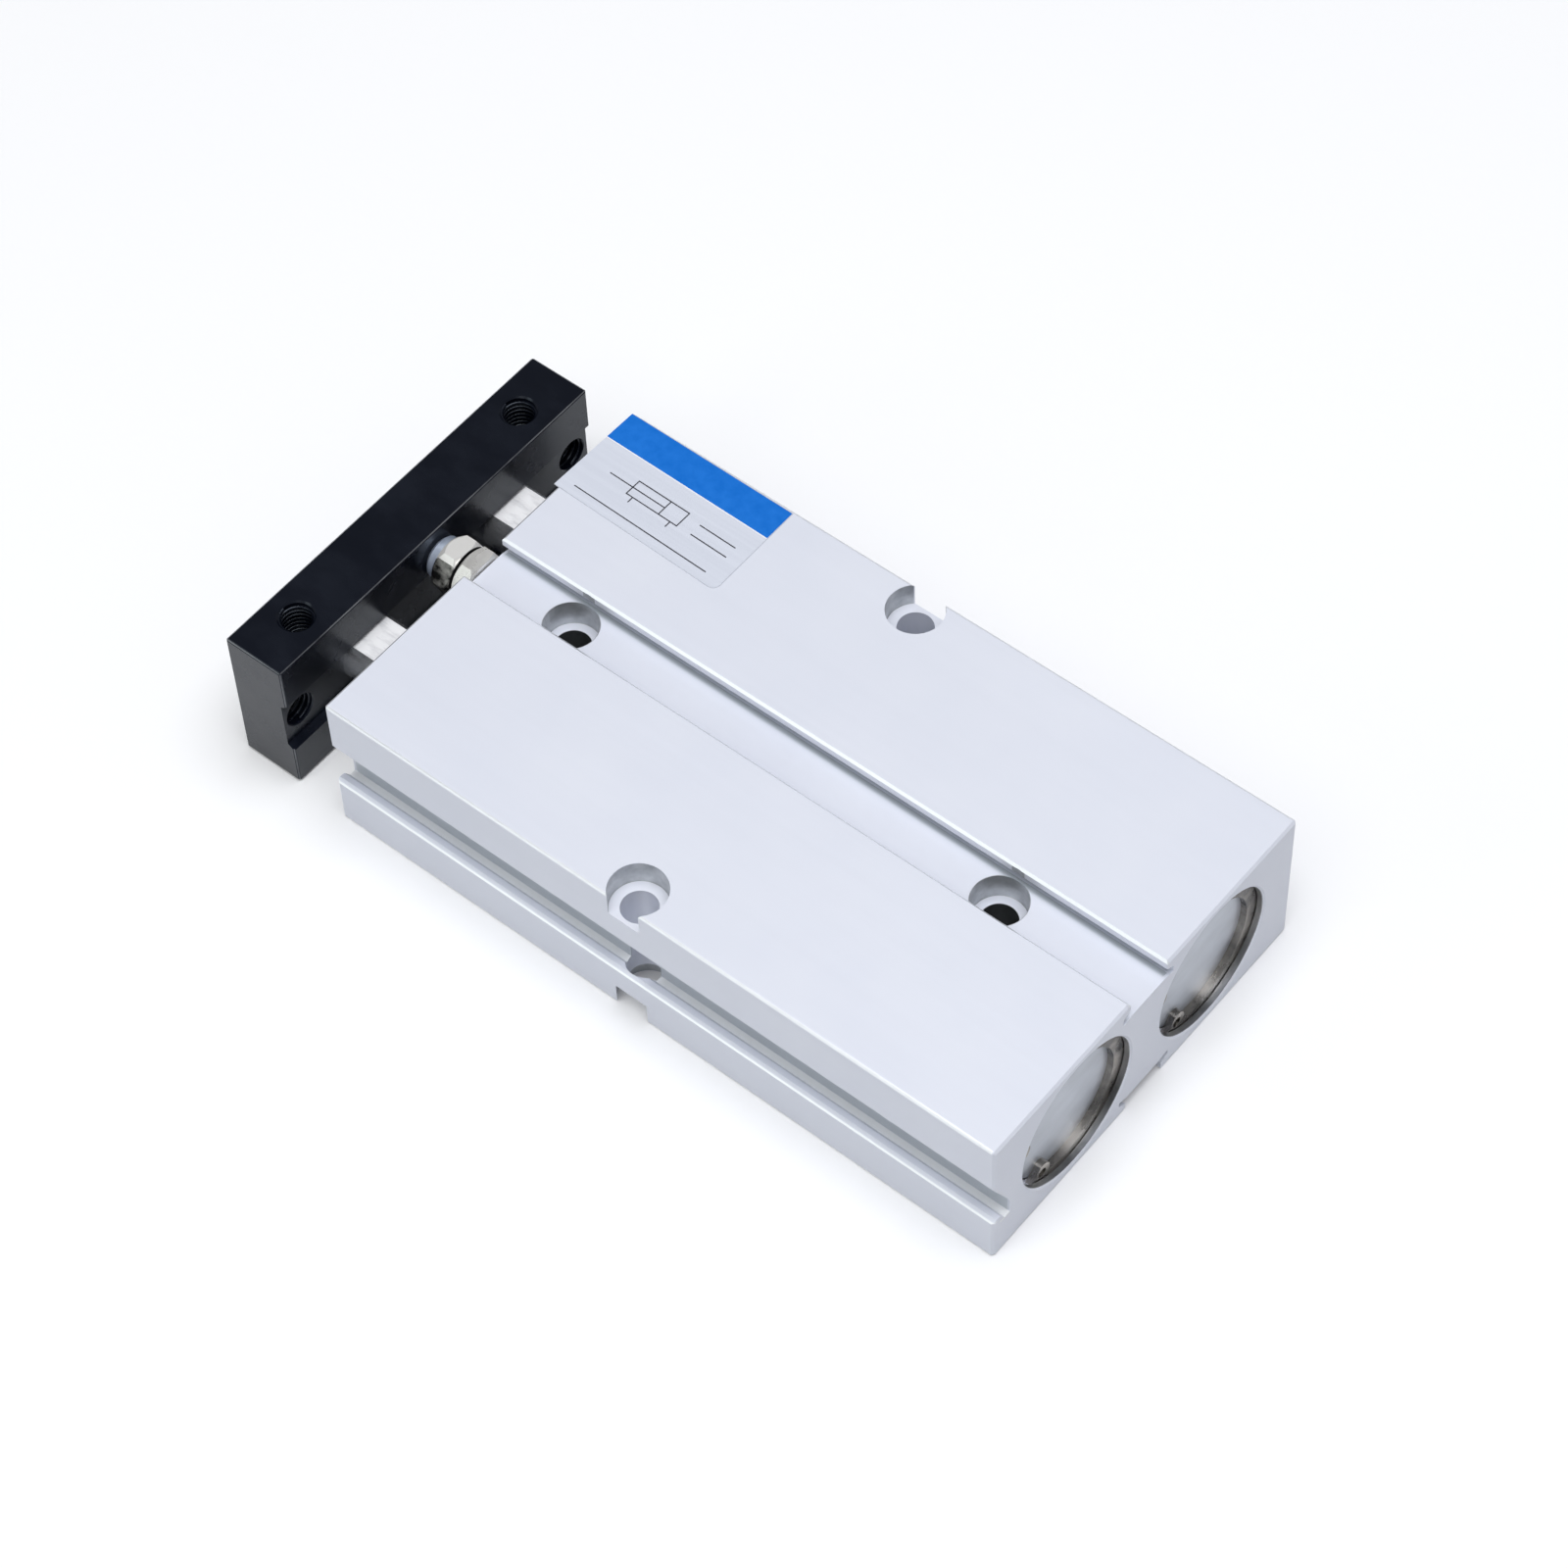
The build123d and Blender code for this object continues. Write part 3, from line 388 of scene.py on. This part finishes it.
def silverAnodised():
    # blasted and anodised extrusion: fine grain all over, faint die lines along X
    user = {
        "dark": (0.762, 0.786, 0.868),
        "light": (0.786, 0.808, 0.884),
        "metallic": 0.12,
        "grain": 2600.0,
        "dieLines": 2200.0,
        "machinedDark": (0.40, 0.42, 0.44),
        "machinedLight": (0.62, 0.64, 0.66),
        "seatShadeDark": (0.16, 0.165, 0.17),
        "seatShadeLight": (0.40, 0.41, 0.43),
        "drilled": (0.20, 0.21, 0.22),
        "underLipShade": (0.49, 0.53, 0.57),
        "slotBackShade": (0.66, 0.70, 0.745),
        "slotFloorPaintedLight": (0.93, 0.945, 0.955),
        "edge": (0.93, 0.95, 0.985),
    }
    f = Finish("silverAnodised", user["light"], user["metallic"], roughness=0.42)
    lines = f.grain((18.0, user["dieLines"], user["dieLines"]), detail=4.0)
    fine = f.grain((user["grain"],) * 3, detail=2.0)
    clouds = f.grain((60.0, 60.0, 60.0), detail=2.0)
    f.tint(clouds, user["dark"], user["light"])
    f.rough(lines, low=0.36, high=0.46)
    f.bump(lines, strength=0.10, distance=0.02 * mm)
    f.bump(fine, strength=0.22, distance=0.03 * mm)

    along = f.axis("X")
    height = f.axis("Z")
    across = f.axis("Y")
    fromMiddle = f.count("ABSOLUTE", f.axis("Z", (0, 0, boreHeight)))
    fromSide = f.count("ABSOLUTE", across)
    reach = topFace - boreHeight

    def depths(shallow, deep):
        # 1 between two depths, below the top and above the base alike
        return f.between(fromMiddle, reach - deep, reach - shallow)

    def insets(shallow, deep):
        # 1 between two insets from the slot's side
        return f.between(across, bodyHigh.y - deep, bodyHigh.y - shallow)

    # bare metal in the ports and in the seats of the bores; the seats are darker still, painted shade in
    # the recess
    skin = f.shades(f.grain((400.0, 400.0, 400.0)), user["machinedDark"], user["machinedLight"])
    bores = [f.within((0, y, boreHeight), (0, 1, 1), machining["seatRadius"]) for y in boreCentres]
    ports = [
        f.within((frontFace + x, 0, boreHeight), (1, 0, 1), machining["portRadius"])
        for x in machining["portPlaces"]
    ]
    portSide = f.count("LESS_THAN", across, bodyLow.y + machining["portReach"])
    f.overlay(f.count("MULTIPLY", f.anyOf(ports), portSide), skin, metallic=0.85, roughness=0.34)
    # bare metal in the seats, with a dark tone that is painted shade
    seatShade = f.shades(f.grain((300.0, 160.0, 160.0)), user["seatShadeDark"], user["seatShadeLight"])
    f.overlay(f.anyOf(bores), seatShade, metallic=0.85, roughness=0.34)

    # the counterbores' walls, and the drilled holes below the channels, whose walls are painted dark as
    # shade inside the hole
    upright = (1, 1, 0)
    middles = [(frontFace + x, 0, 0) for x in machining["channelHoles"]]
    edges = [(frontFace + machining["edgeHoles"], sign * machining["edgeHoleSide"], 0) for sign in (-1, 1)]
    low = f.count("MULTIPLY", depths(*machining["edgeCounterboreDepths"]), f.count(
        "LESS_THAN", fromSide, bodyHigh.y - machining["edgeCounterboreInset"]))
    deep = depths(*machining["channelCounterboreDepths"])
    walls = []
    for centres, radius, there in (
        (middles, machining["channelCounterbore"], deep),
        (edges, machining["edgeCounterbore"], low),
    ):
        walls += [f.count("MULTIPLY", there, f.wall(centre, upright, radius)) for centre in centres]
    f.overlay(f.anyOf(walls), skin, metallic=0.6, roughness=0.36)
    # painted shade: the walls of the drilled holes are darkened
    drilled = f.anyOf([f.within(centre, upright, machining["hole"]) for centre in middles])
    f.overlay(drilled, user["drilled"], metallic=0.8, roughness=0.4)

    # painted shade under the channels' lips and on the slot's back, painted light on the slot's floor
    start, full, end = bodyForm["underLipShade"]
    withinEnds = f.between(along, rearFace + bodyForm["underLipEnds"], frontFace - bodyForm["underLipEnds"])
    # painted shade: the floor under the channels' lips is darkened
    underLipShade = f.count(
        "MULTIPLY", f.spread(fromSide, 0.0, 1.0, start, full), depths(*bodyForm["underLipDepths"]))
    shortened = f.count("MULTIPLY", withinEnds, f.count("LESS_THAN", fromSide, end))
    f.overlay(f.count("MULTIPLY", underLipShade, shortened), user["underLipShade"], metallic=0.12, roughness=0.5)
    # painted shade: the slot's back wall is darkened
    slotBackShade = f.count(
        "MULTIPLY", f.between(height, *bodyForm["slotBackHeights"]), insets(*bodyForm["slotBackInsets"]))
    f.overlay(f.count("MULTIPLY", slotBackShade, withinEnds), user["slotBackShade"], metallic=0.12, roughness=0.5)
    # painted light: the slot's floor is made paler than the body
    slotFloorPaintedLight = f.count(
        "MULTIPLY", f.between(height, *bodyForm["slotFloorHeights"]), insets(*bodyForm["slotFloorInsets"]))
    f.overlay(slotFloorPaintedLight, user["slotFloorPaintedLight"], metallic=0.0, roughness=0.5)

    # edges painted bright as highlights: the box's own apart from the rear, the channels' and the slot's
    # lip
    mouth = bodyForm["channelMouth"]
    lipHighlights = f.count("MULTIPLY", f.between(fromSide, mouth, mouth + bodyForm["lipWidth"]), f.count(
        "GREATER_THAN", fromMiddle, reach - bodyForm["lipDepth"]))
    slotLipHighlight = f.count("MULTIPLY", f.between(height, *bodyForm["slotLipHeights"]), f.count(
        "GREATER_THAN", across, bodyHigh.y - bodyForm["slotLipInset"]))
    ownEdges = f.boxEdges(bodyLow, bodyHigh, bodyForm["edgeWidth"], bodyForm["edgeLine"])
    boxEdgeHighlights = f.count("MULTIPLY", ownEdges, f.count("GREATER_THAN", along, rearFace + bodyForm["plainRear"]))
    # painted highlight: brighter, more metallic edge lines
    f.overlay(f.anyOf([boxEdgeHighlights, lipHighlights, slotLipHighlight]), user["edge"], metallic=0.6, roughness=0.34)
    return f.material


def blackAnodised():
    # glossy black, with soft scuffs, faint milling lines and a thin bright line on each edge
    user = {
        "dark": (0.0022, 0.0032, 0.0075),
        "light": (0.005, 0.0065, 0.0125),
        "lines": 1500.0,
        "specular": 0.40,
        "specularTint": (0.80, 0.89, 1.0, 1),
        "edge": (0.20, 0.205, 0.215),
        "edgeWidth": 0.31 * mm,
        "edgeLine": 0.10 * mm,
    }
    f = Finish("blackAnodised", user["dark"], metallic=0.0, roughness=0.24)
    f.shader.inputs["Specular IOR Level"].default_value = user["specular"]
    f.shader.inputs["Specular Tint"].default_value = user["specularTint"]
    clouds = f.grain((90.0, 140.0, 140.0), detail=5.0)
    lines = f.grain((user["lines"], 25.0, 60.0), detail=3.0)
    f.tint(clouds, user["dark"], user["light"], 0.45, 0.75)
    f.rough(clouds, low=0.18, high=0.32)
    f.bump(lines, strength=0.10, distance=0.02 * mm)
    worn = f.boxEdges(plateLow, plateHigh, user["edgeWidth"], user["edgeLine"])
    patchy = f.spread(f.grain((150.0, 150.0, 150.0), detail=4.0), 0.1, 1.0)
    f.overlay(f.count("MULTIPLY", worn, patchy), user["edge"], metallic=0.3, roughness=0.4)
    return f.material


def groundChrome():
    # hard chromed rod: fine grinding rings round its axis, and satin milled flats
    user = {
        "colour": (0.80, 0.81, 0.84),
        "flatStart": 2.9 * mm,  # from the body's front face
        "flatHalf": 3.7 * mm,
        "flatDark": (0.70, 0.70, 0.72),
        "flatLight": (0.97, 0.97, 0.98),
    }
    f = Finish("groundChrome", user["colour"], metallic=0.88, roughness=0.14)
    rings = f.grain((3500.0, 40.0, 40.0), detail=2.0)
    smears = f.grain((240.0, 120.0, 120.0), detail=4.0)
    f.rough(smears, low=0.10, high=0.26)
    f.bump(rings, strength=0.10, distance=0.01 * mm)
    past = f.count("GREATER_THAN", f.axis("X"), frontFace + user["flatStart"])
    rise = f.count("ABSOLUTE", f.axis("Z", (0, 0, boreHeight)))
    flats = f.count("MULTIPLY", past, f.count("GREATER_THAN", rise, user["flatHalf"]))
    streaks = f.grain((260.0, 900.0, 260.0), detail=5.0)
    satin = f.shades(streaks, user["flatDark"], user["flatLight"], 0.32, 0.55)
    f.overlay(flats, satin, metallic=0.08, roughness=0.5)
    return f.material


def nickelPlate():
    # bright hexagons, with a dark line painted as shade in the gap where the lock nut meets the head, and a
    # mottled dark reflection painted on the nut's near side
    user = {
        "dark": (0.80, 0.785, 0.75),
        "light": (0.97, 0.955, 0.92),
        "gap": (2.98 * mm, 3.42 * mm),  # from the body's front face
        "nutMetallic": 0.42,
        "paintedReflectionSide": 2.4 * mm,
        "paintedReflectionDark": (0.02, 0.02, 0.02),
        "paintedReflectionLight": (0.50, 0.485, 0.46),
        "gapShade": (0.006, 0.006, 0.006),
    }
    f = Finish("nickelPlate", user["light"], metallic=0.62, roughness=0.28)
    smears = f.grain((500.0, 300.0, 300.0), detail=4.0)
    fine = f.grain((4000.0, 1500.0, 1500.0), detail=2.0)
    f.tint(smears, user["dark"], user["light"])
    f.rough(smears, low=0.22, high=0.36)
    f.bump(fine, strength=0.12, distance=0.02 * mm)
    along = f.axis("X", (frontFace, 0, 0))
    nut = f.count("GREATER_THAN", along, user["gap"][1])
    f.overlay(nut, user["light"], user["nutMetallic"], roughness=0.3)
    # painted reflection: mottled dark patches on the nut's near side
    paintedReflectionMask = f.count("MULTIPLY", nut, f.count("GREATER_THAN", f.axis("Y"), user["paintedReflectionSide"]))
    patches = f.grain((420.0, 700.0, 700.0), detail=5.0)
    paintedReflection = f.shades(patches, user["paintedReflectionDark"], user["paintedReflectionLight"], 0.44, 0.64)
    f.overlay(paintedReflectionMask, paintedReflection, metallic=0.9, roughness=0.3)
    # painted shade: the gap between the nut and the head is darkened
    f.overlay(f.between(along, *user["gap"]), user["gapShade"], metallic=0.0, roughness=0.6)
    return f.material


def springSteel():
    # stamped and oiled ring, painted darker towards its top as shade and lighter towards its foot as a
    # highlight
    f = Finish("springSteel", (0.24, 0.22, 0.20), metallic=1.0, roughness=0.32)
    smears = f.grain((400.0, 260.0, 260.0), detail=5.0)
    # painted shade towards the top, painted highlight towards the foot
    paintedShadeTowardsTop = f.spread(f.axis("Z", (0, 0, boreHeight)), 0.16, -0.22, -9.0 * mm, 7.0 * mm)
    f.tint(f.count("ADD", smears, paintedShadeTowardsTop), (0.045, 0.04, 0.036), (0.50, 0.465, 0.42), 0.28, 0.72)
    f.rough(smears, low=0.22, high=0.36)
    f.bump(smears, strength=0.12, distance=0.03 * mm)
    return f.material


def turnedCover(name, centreY):
    # faced on a lathe: fine rings round the bore's axis and a dull, cloudy skin
    f = Finish(name, (0.62, 0.65, 0.70), metallic=0.55, roughness=0.40)
    rings = f.add("ShaderNodeTexWave", wave_type="RINGS", rings_direction="X")
    rings.inputs["Scale"].default_value = 1.0
    rings.inputs["Distortion"].default_value = 0.4
    rings.inputs["Detail"].default_value = 2.0
    f.link(f.place((900.0, 900.0, 900.0), (0, centreY, boreHeight)), rings.inputs["Vector"])
    clouds = f.grain((120.0, 90.0, 200.0), detail=5.0)
    # darker towards the bottom of the cover
    sink = f.spread(f.axis("Z", (0, 0, boreHeight)), -0.22, 0.0, -8.0 * mm, 0.0)
    f.tint(f.count("ADD", clouds, sink), (0.43, 0.455, 0.50), (0.63, 0.66, 0.715), 0.15, 0.70)
    f.rough(clouds, low=0.34, high=0.50)
    f.bump(rings.outputs["Fac"], strength=0.12, distance=0.02 * mm)
    return f.material


def zincWasher():
    f = Finish("zincWasher", (0.50, 0.57, 0.70), metallic=0.5, roughness=0.35)
    smears = f.grain((700.0, 500.0, 500.0), detail=3.0)
    f.tint(smears, (0.40, 0.46, 0.58), (0.58, 0.65, 0.77))
    f.rough(smears, low=0.28, high=0.44)
    return f.material


def blackenedSteel():
    f = Finish("blackenedSteel", (0.03, 0.03, 0.032), metallic=0.7, roughness=0.36)
    smears = f.grain((500.0, 500.0, 500.0), detail=4.0)
    f.tint(smears, (0.022, 0.022, 0.024), (0.05, 0.05, 0.053))
    f.rough(smears, low=0.28, high=0.46)
    return f.material


def mouldedRubber(name, dark, light):
    f = Finish(name, dark, metallic=0.0, roughness=0.62)
    specks = f.grain((900.0, 900.0, 900.0), detail=4.0)
    f.tint(specks, dark, light)
    f.rough(specks, low=0.52, high=0.72)
    f.bump(specks, strength=0.2, distance=0.03 * mm)
    return f.material


def sinteredBronze():
    f = Finish("sinteredBronze", (0.50, 0.36, 0.18), metallic=0.9, roughness=0.42)
    pores = f.grain((1800.0, 1800.0, 1800.0), detail=3.0)
    f.tint(pores, (0.38, 0.26, 0.12), (0.58, 0.42, 0.22))
    f.bump(pores, strength=0.3, distance=0.03 * mm)
    return f.material


finishes = {
    "cylinder_body": silverAnodised(),
    "end_plate": blackAnodised(),
    "piston_rod": groundChrome(),
    "stop_bolt": nickelPlate(),
    "retaining_ring": springSteel(),
    "stop_washer": zincWasher(),
    "screws": blackenedSteel(),
    "rod_bush": sinteredBronze(),
    "seal": mouldedRubber("nitrileRubber", (0.012, 0.012, 0.012), (0.03, 0.03, 0.03)),
    "rod_bumper": mouldedRubber("bumperUrethane", (0.16, 0.10, 0.04), (0.22, 0.15, 0.07)),
    "wear_ring": mouldedRubber("filledPlastic", (0.52, 0.50, 0.46), (0.62, 0.60, 0.55)),
    "magnet": mouldedRubber("bondedMagnet", (0.05, 0.05, 0.055), (0.09, 0.09, 0.095)),
}
coverFinish = {
    side: turnedCover("turnedCover_" + side, y) for side, y in zip(sides, boreCentres)
}


def finishFor(name):
    for word in ("retaining_ring", "wear_ring", "magnet", "rod_bush", "rod_bumper", "screws", "piston_rod"):
        if word in name:
            return finishes[word]
    if "oring" in name or "seal" in name:
        return finishes["seal"]
    if name.startswith("stop_washer"):
        return finishes["stop_washer"]
    if name.startswith("stop_"):
        return finishes["stop_bolt"]
    if name in finishes:
        return finishes[name]
    return coverFinish["near" if name.endswith("near") else "far"]


for name, node in nodes.items():
    node.data.materials.clear()
    node.data.materials.append(finishFor(name))
print("finishes on", len(nodes), "nodes")


# Threads: one Geometry Nodes tree winds a ridge and repeats it at every hole
def buildThreadTree(stepsPerTurn, ridgeSides):
    tree = bpy.data.node_groups.new("windThread", "GeometryNodeTree")
    face = tree.interface
    face.new_socket("Geometry", in_out="OUTPUT", socket_type="NodeSocketGeometry")
    wanted = [
        ("Radius", "NodeSocketFloat"),
        ("Pitch", "NodeSocketFloat"),
        ("Turns", "NodeSocketFloat"),
        ("Ridge", "NodeSocketFloat"),
        ("Count", "NodeSocketInt"),
        ("Start", "NodeSocketVector"),
        ("Step", "NodeSocketVector"),
        ("Turn", "NodeSocketVector"),
        ("Finish", "NodeSocketMaterial"),
    ]
    for name, kind in wanted:
        face.new_socket(name, in_out="INPUT", socket_type=kind)
    given = tree.nodes.new("NodeGroupInput")
    out = tree.nodes.new("NodeGroupOutput")

    height = tree.nodes.new("ShaderNodeMath")
    height.operation = "MULTIPLY"
    tree.links.new(given.outputs["Pitch"], height.inputs[0])
    tree.links.new(given.outputs["Turns"], height.inputs[1])

    spiral = tree.nodes.new("GeometryNodeCurveSpiral")
    spiral.inputs["Resolution"].default_value = stepsPerTurn
    tree.links.new(given.outputs["Turns"], spiral.inputs["Rotations"])
    tree.links.new(given.outputs["Radius"], spiral.inputs["Start Radius"])
    tree.links.new(given.outputs["Radius"], spiral.inputs["End Radius"])
    tree.links.new(height.outputs[0], spiral.inputs["Height"])

    profile = tree.nodes.new("GeometryNodeCurvePrimitiveCircle")
    profile.inputs["Resolution"].default_value = ridgeSides
    tree.links.new(given.outputs["Ridge"], profile.inputs["Radius"])

    sweep = tree.nodes.new("GeometryNodeCurveToMesh")
    sweep.inputs["Fill Caps"].default_value = True
    tree.links.new(spiral.outputs["Curve"], sweep.inputs["Curve"])
    tree.links.new(profile.outputs["Curve"], sweep.inputs["Profile Curve"])

    holes = tree.nodes.new("GeometryNodeMeshLine")
    tree.links.new(given.outputs["Count"], holes.inputs["Count"])
    tree.links.new(given.outputs["Start"], holes.inputs["Start Location"])
    tree.links.new(given.outputs["Step"], holes.inputs["Offset"])

    copies = tree.nodes.new("GeometryNodeInstanceOnPoints")
    tree.links.new(holes.outputs["Mesh"], copies.inputs["Points"])
    tree.links.new(sweep.outputs["Mesh"], copies.inputs["Instance"])
    tree.links.new(given.outputs["Turn"], copies.inputs["Rotation"])

    real = tree.nodes.new("GeometryNodeRealizeInstances")
    tree.links.new(copies.outputs["Instances"], real.inputs["Geometry"])
    finish = tree.nodes.new("GeometryNodeSetMaterial")
    tree.links.new(real.outputs["Geometry"], finish.inputs["Geometry"])
    tree.links.new(given.outputs["Finish"], finish.inputs["Material"])
    tree.links.new(finish.outputs["Geometry"], out.inputs["Geometry"])
    return tree


threadTree = buildThreadTree(stepsPerTurn=28, ridgeSides=4)


def pieceFromTree(name, tree, values):
    # run a tree on an empty mesh and keep the result as a plain mesh
    carrier = bpy.data.objects.new(name + "Carrier", bpy.data.meshes.new(name + "Carrier"))
    bpy.context.scene.collection.objects.link(carrier)
    modifier = carrier.modifiers.new("tree", "NODES")
    modifier.node_group = tree
    for item in tree.interface.items_tree:
        if item.item_type == "SOCKET" and item.in_out == "INPUT" and item.name in values:
            modifier[item.identifier] = values[item.name]
    bpy.context.view_layer.update()
    evaluated = carrier.evaluated_get(bpy.context.evaluated_depsgraph_get())
    mesh = bpy.data.meshes.new_from_object(evaluated)
    mesh.name = name
    bpy.data.objects.remove(carrier)
    piece = bpy.data.objects.new(name, mesh)
    bpy.context.scene.collection.objects.link(piece)
    return piece


threads = {
    "pitch": 0.8 * mm,
    "ridge": 0.34 * mm,
    "wallRadius": 2.5 * mm,
    "mouthDepth": 0.45 * mm,
    "plateTopSpacing": 45.6 * mm,
    "plateTopTurns": 9.0,
    "plateFaceSpacing": 56.6 * mm,
    "plateFaceInset": 1.6 * mm,
    "plateFaceTurns": 9.5,
    "holesEach": 2,
    "portTurns": 5.0,
    "portInset": 0.75 * mm,
}


def makeThreads(user):
    black = ("carriage", "black_anodised_aluminium", finishes["end_plate"])
    silver = ("barrel", "silver_anodised_aluminium", finishes["cylinder_body"])
    plateMiddle = (plateLow.x + plateHigh.x) / 2
    topHalf = user["plateTopSpacing"] / 2
    faceHalf = user["plateFaceSpacing"] / 2
    topLength = user["plateTopTurns"] * user["pitch"]
    portLength = user["portTurns"] * user["pitch"]
    firstPort, lastPort = (frontFace + x for x in machining["portPlaces"])
    quarter = math.radians(90)
    upright, alongX, alongY = (0, 0, 0), (0, quarter, 0), (quarter, 0, 0)
    topStep = (0, 2 * topHalf, 0)
    topStart = (plateMiddle, -topHalf, plateHigh.z - user["mouthDepth"] - topLength)
    bottomStart = (plateMiddle, -topHalf, plateLow.z + user["mouthDepth"])
    faceStart = (plateLow.x + user["plateFaceInset"], -faceHalf, boreHeight)
    faceStep = (0, 2 * faceHalf, 0)
    portStart = (firstPort, bodyLow.y + user["portInset"] + portLength, boreHeight)
    portStep = (lastPort - firstPort, 0, 0)
    wanted = [
        # name, turns, start, step to the next hole, direction, where it rides
        ("plateTopThreads", user["plateTopTurns"], topStart, topStep, upright, black),
        ("plateBottomThreads", user["plateTopTurns"], bottomStart, topStep, upright, black),
        ("plateFaceThreads", user["plateFaceTurns"], faceStart, faceStep, alongX, black),
        ("portThreads", user["portTurns"], portStart, portStep, alongY, silver),
    ]
    for name, turns, start, step, turn, (body, slot, finish) in wanted:
        piece = pieceFromTree(name, threadTree, {
            "Pitch": user["pitch"],
            "Ridge": user["ridge"],
            "Radius": user["wallRadius"],
            "Count": user["holesEach"],
            "Turns": turns,
            "Start": start,
            "Step": step,
            "Turn": turn,
            "Finish": finish,
        })
        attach(piece, body)


makeThreads(threads)
print("threads wound")


# Label: a printed film on the top, with plain rules and a cylinder symbol
label = {
    # in mm from the front face and across: front far, front near, rear near, rear far
    "corners": ((0.20, -31.60), (0.60, -15.55), (-28.55, -14.75), (-28.50, -31.40)),
    "corner": 1.15,
    "cornerSteps": 8,
    "rim": 0.10,
    "hairline": 0.16,
    "rule": 0.19,
    # thicknesses and lifts in metres
    "film": 0.06 * mm,
    "lift": 0.012 * mm,
    "ink": 0.008 * mm,
    "rimDrop": 0.008 * mm,
    "rimFilm": 0.02 * mm,
    # shares of the label: along 0 at the front to 1 at the rear, across 0 at the far edge to 1
    "bandShare": 0.325,
    "barrel": ((0.30, 0.62), (0.52, 0.70)),
    "piston": 0.50,
    "rodTip": 0.16,
    "portInset": 0.04,
    "portLength": 0.06,
    "rules": [((0.08, 0.90), 0.90), ((0.70, 0.92), 0.56), ((0.70, 0.92), 0.68)],
}


def flatPiece(name, outlines, low, thickness, material):
    # thin plates from outlines of (x, y) points, all in one mesh
    shape = bmesh.new()
    for outline in outlines:
        face = shape.faces.new([shape.verts.new((x, y, low)) for x, y in outline])
        grown = bmesh.ops.extrude_face_region(shape, geom=[face])
        top = [v for v in grown["geom"] if isinstance(v, bmesh.types.BMVert)]
        bmesh.ops.translate(shape, verts=top, vec=(0, 0, thickness))
    bmesh.ops.recalc_face_normals(shape, faces=shape.faces)
    mesh = bpy.data.meshes.new(name)
    shape.to_mesh(mesh)
    shape.free()
    mesh.materials.append(material)
    piece = bpy.data.objects.new(name, mesh)
    bpy.context.scene.collection.objects.link(piece)
    return piece


def foilFilm():
    f = Finish("foilFilm", (0.72, 0.75, 0.835), metallic=0.12, roughness=0.36)
    lines = f.grain((30.0, 1800.0, 1800.0), detail=3.0)
    f.tint(lines, (0.705, 0.735, 0.82), (0.735, 0.765, 0.85))
    f.rough(lines, low=0.32, high=0.42)
    return f.material


def plainInk(name, dark, light, grain=700.0):
    f = Finish(name, light, metallic=0.0, roughness=0.40)
    f.shader.inputs["Specular IOR Level"].default_value = 0.25
    specks = f.grain((grain, grain, grain), detail=2.0)
    f.tint(specks, dark, light)
    f.rough(specks, low=0.34, high=0.46)
    return f.material


def makeLabel(user):
    frontFar, frontNear, rearNear, rearFar = (Vector(c) for c in user["corners"])
    cornerSteps = user["cornerSteps"]

    def spot(along, across):
        far = frontFar.lerp(rearFar, along)
        near = frontNear.lerp(rearNear, along)
        return far.lerp(near, across)

    def real(points):
        return [(frontFace + p.x * mm, p.y * mm) for p in points]

    def patch(along, across):
        (a, b), (c, d) = along, across
        return real([spot(a, c), spot(a, d), spot(b, d), spot(b, c)])

    def shapeOf(grow):
        # the film's outline with its rounded corner, grown all round
        r = user["corner"]
        centre = rearNear + Vector((r, -r))
        corner = []
        for step in range(cornerSteps + 1):
            angle = math.radians(90 + 90 * step / cornerSteps)
            corner.append(centre + Vector((math.cos(angle), math.sin(angle))) * (r + grow))
        front = [frontFar + Vector((0, -grow)), frontNear + Vector((0, grow))]
        return real([*front, *corner, rearFar + Vector((-grow, -grow))])

    low = topFace + user["lift"]
    top = low + user["film"]
    length = (frontFar - rearFar).length
    width = (frontFar - frontNear).length
    band = user["bandShare"]
    line = user["rule"] / width
    tick = user["rule"] / length
    ink = plainInk("darkInk", (0.035, 0.035, 0.045), (0.07, 0.07, 0.08), 1500.0)
    blue = plainInk("bandInk", (0.004, 0.15, 0.60), (0.008, 0.175, 0.66))
    white = plainInk("whiteInk", (0.86, 0.87, 0.90), (0.90, 0.91, 0.93))

    # a double-acting cylinder symbol: barrel, piston, rod and two ports
    (left, right), (up, down) = user["barrel"]
    middle = (up + down) / 2
    piston = user["piston"]
    inset = user["portInset"]
    portEnd = down + user["portLength"]
    symbol = [
        patch((left, right), (up, up + line)),
        patch((left, right), (down - line, down)),
        patch((left, left + tick), (up + line, down - line)),
        patch((right - tick, right), (up + line, down - line)),
        patch((piston, piston + tick), (up + line, down - line)),
        patch((user["rodTip"], left), (middle - line / 2, middle + line / 2)),
        patch((left + tick, piston), (middle - line / 2, middle + line / 2)),
        patch((left + inset, left + inset + tick), (down, portEnd)),
        patch((right - inset - tick, right - inset), (down, portEnd)),
    ]
    rules = [patch(along, (across, across + line)) for along, across in user["rules"]]
    hair = user["hairline"] / width
    edge = plainInk("labelEdge", (0.50, 0.52, 0.57), (0.56, 0.58, 0.63))
    return [
        flatPiece("labelRim", [shapeOf(user["rim"])], low - user["rimDrop"], user["rimFilm"], edge),
        flatPiece("labelFilm", [shapeOf(0)], low, user["film"], foilFilm()),
        flatPiece("labelBand", [patch((0, 1), (0, band))], top, user["ink"], blue),
        flatPiece("labelHairline", [patch((0, 1), (band, band + hair))], top, user["ink"], white),
        flatPiece("labelMarks", symbol + rules, top, user["ink"], ink),
    ]


for piece in makeLabel(label):
    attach(piece, "barrel")
print("label laid")
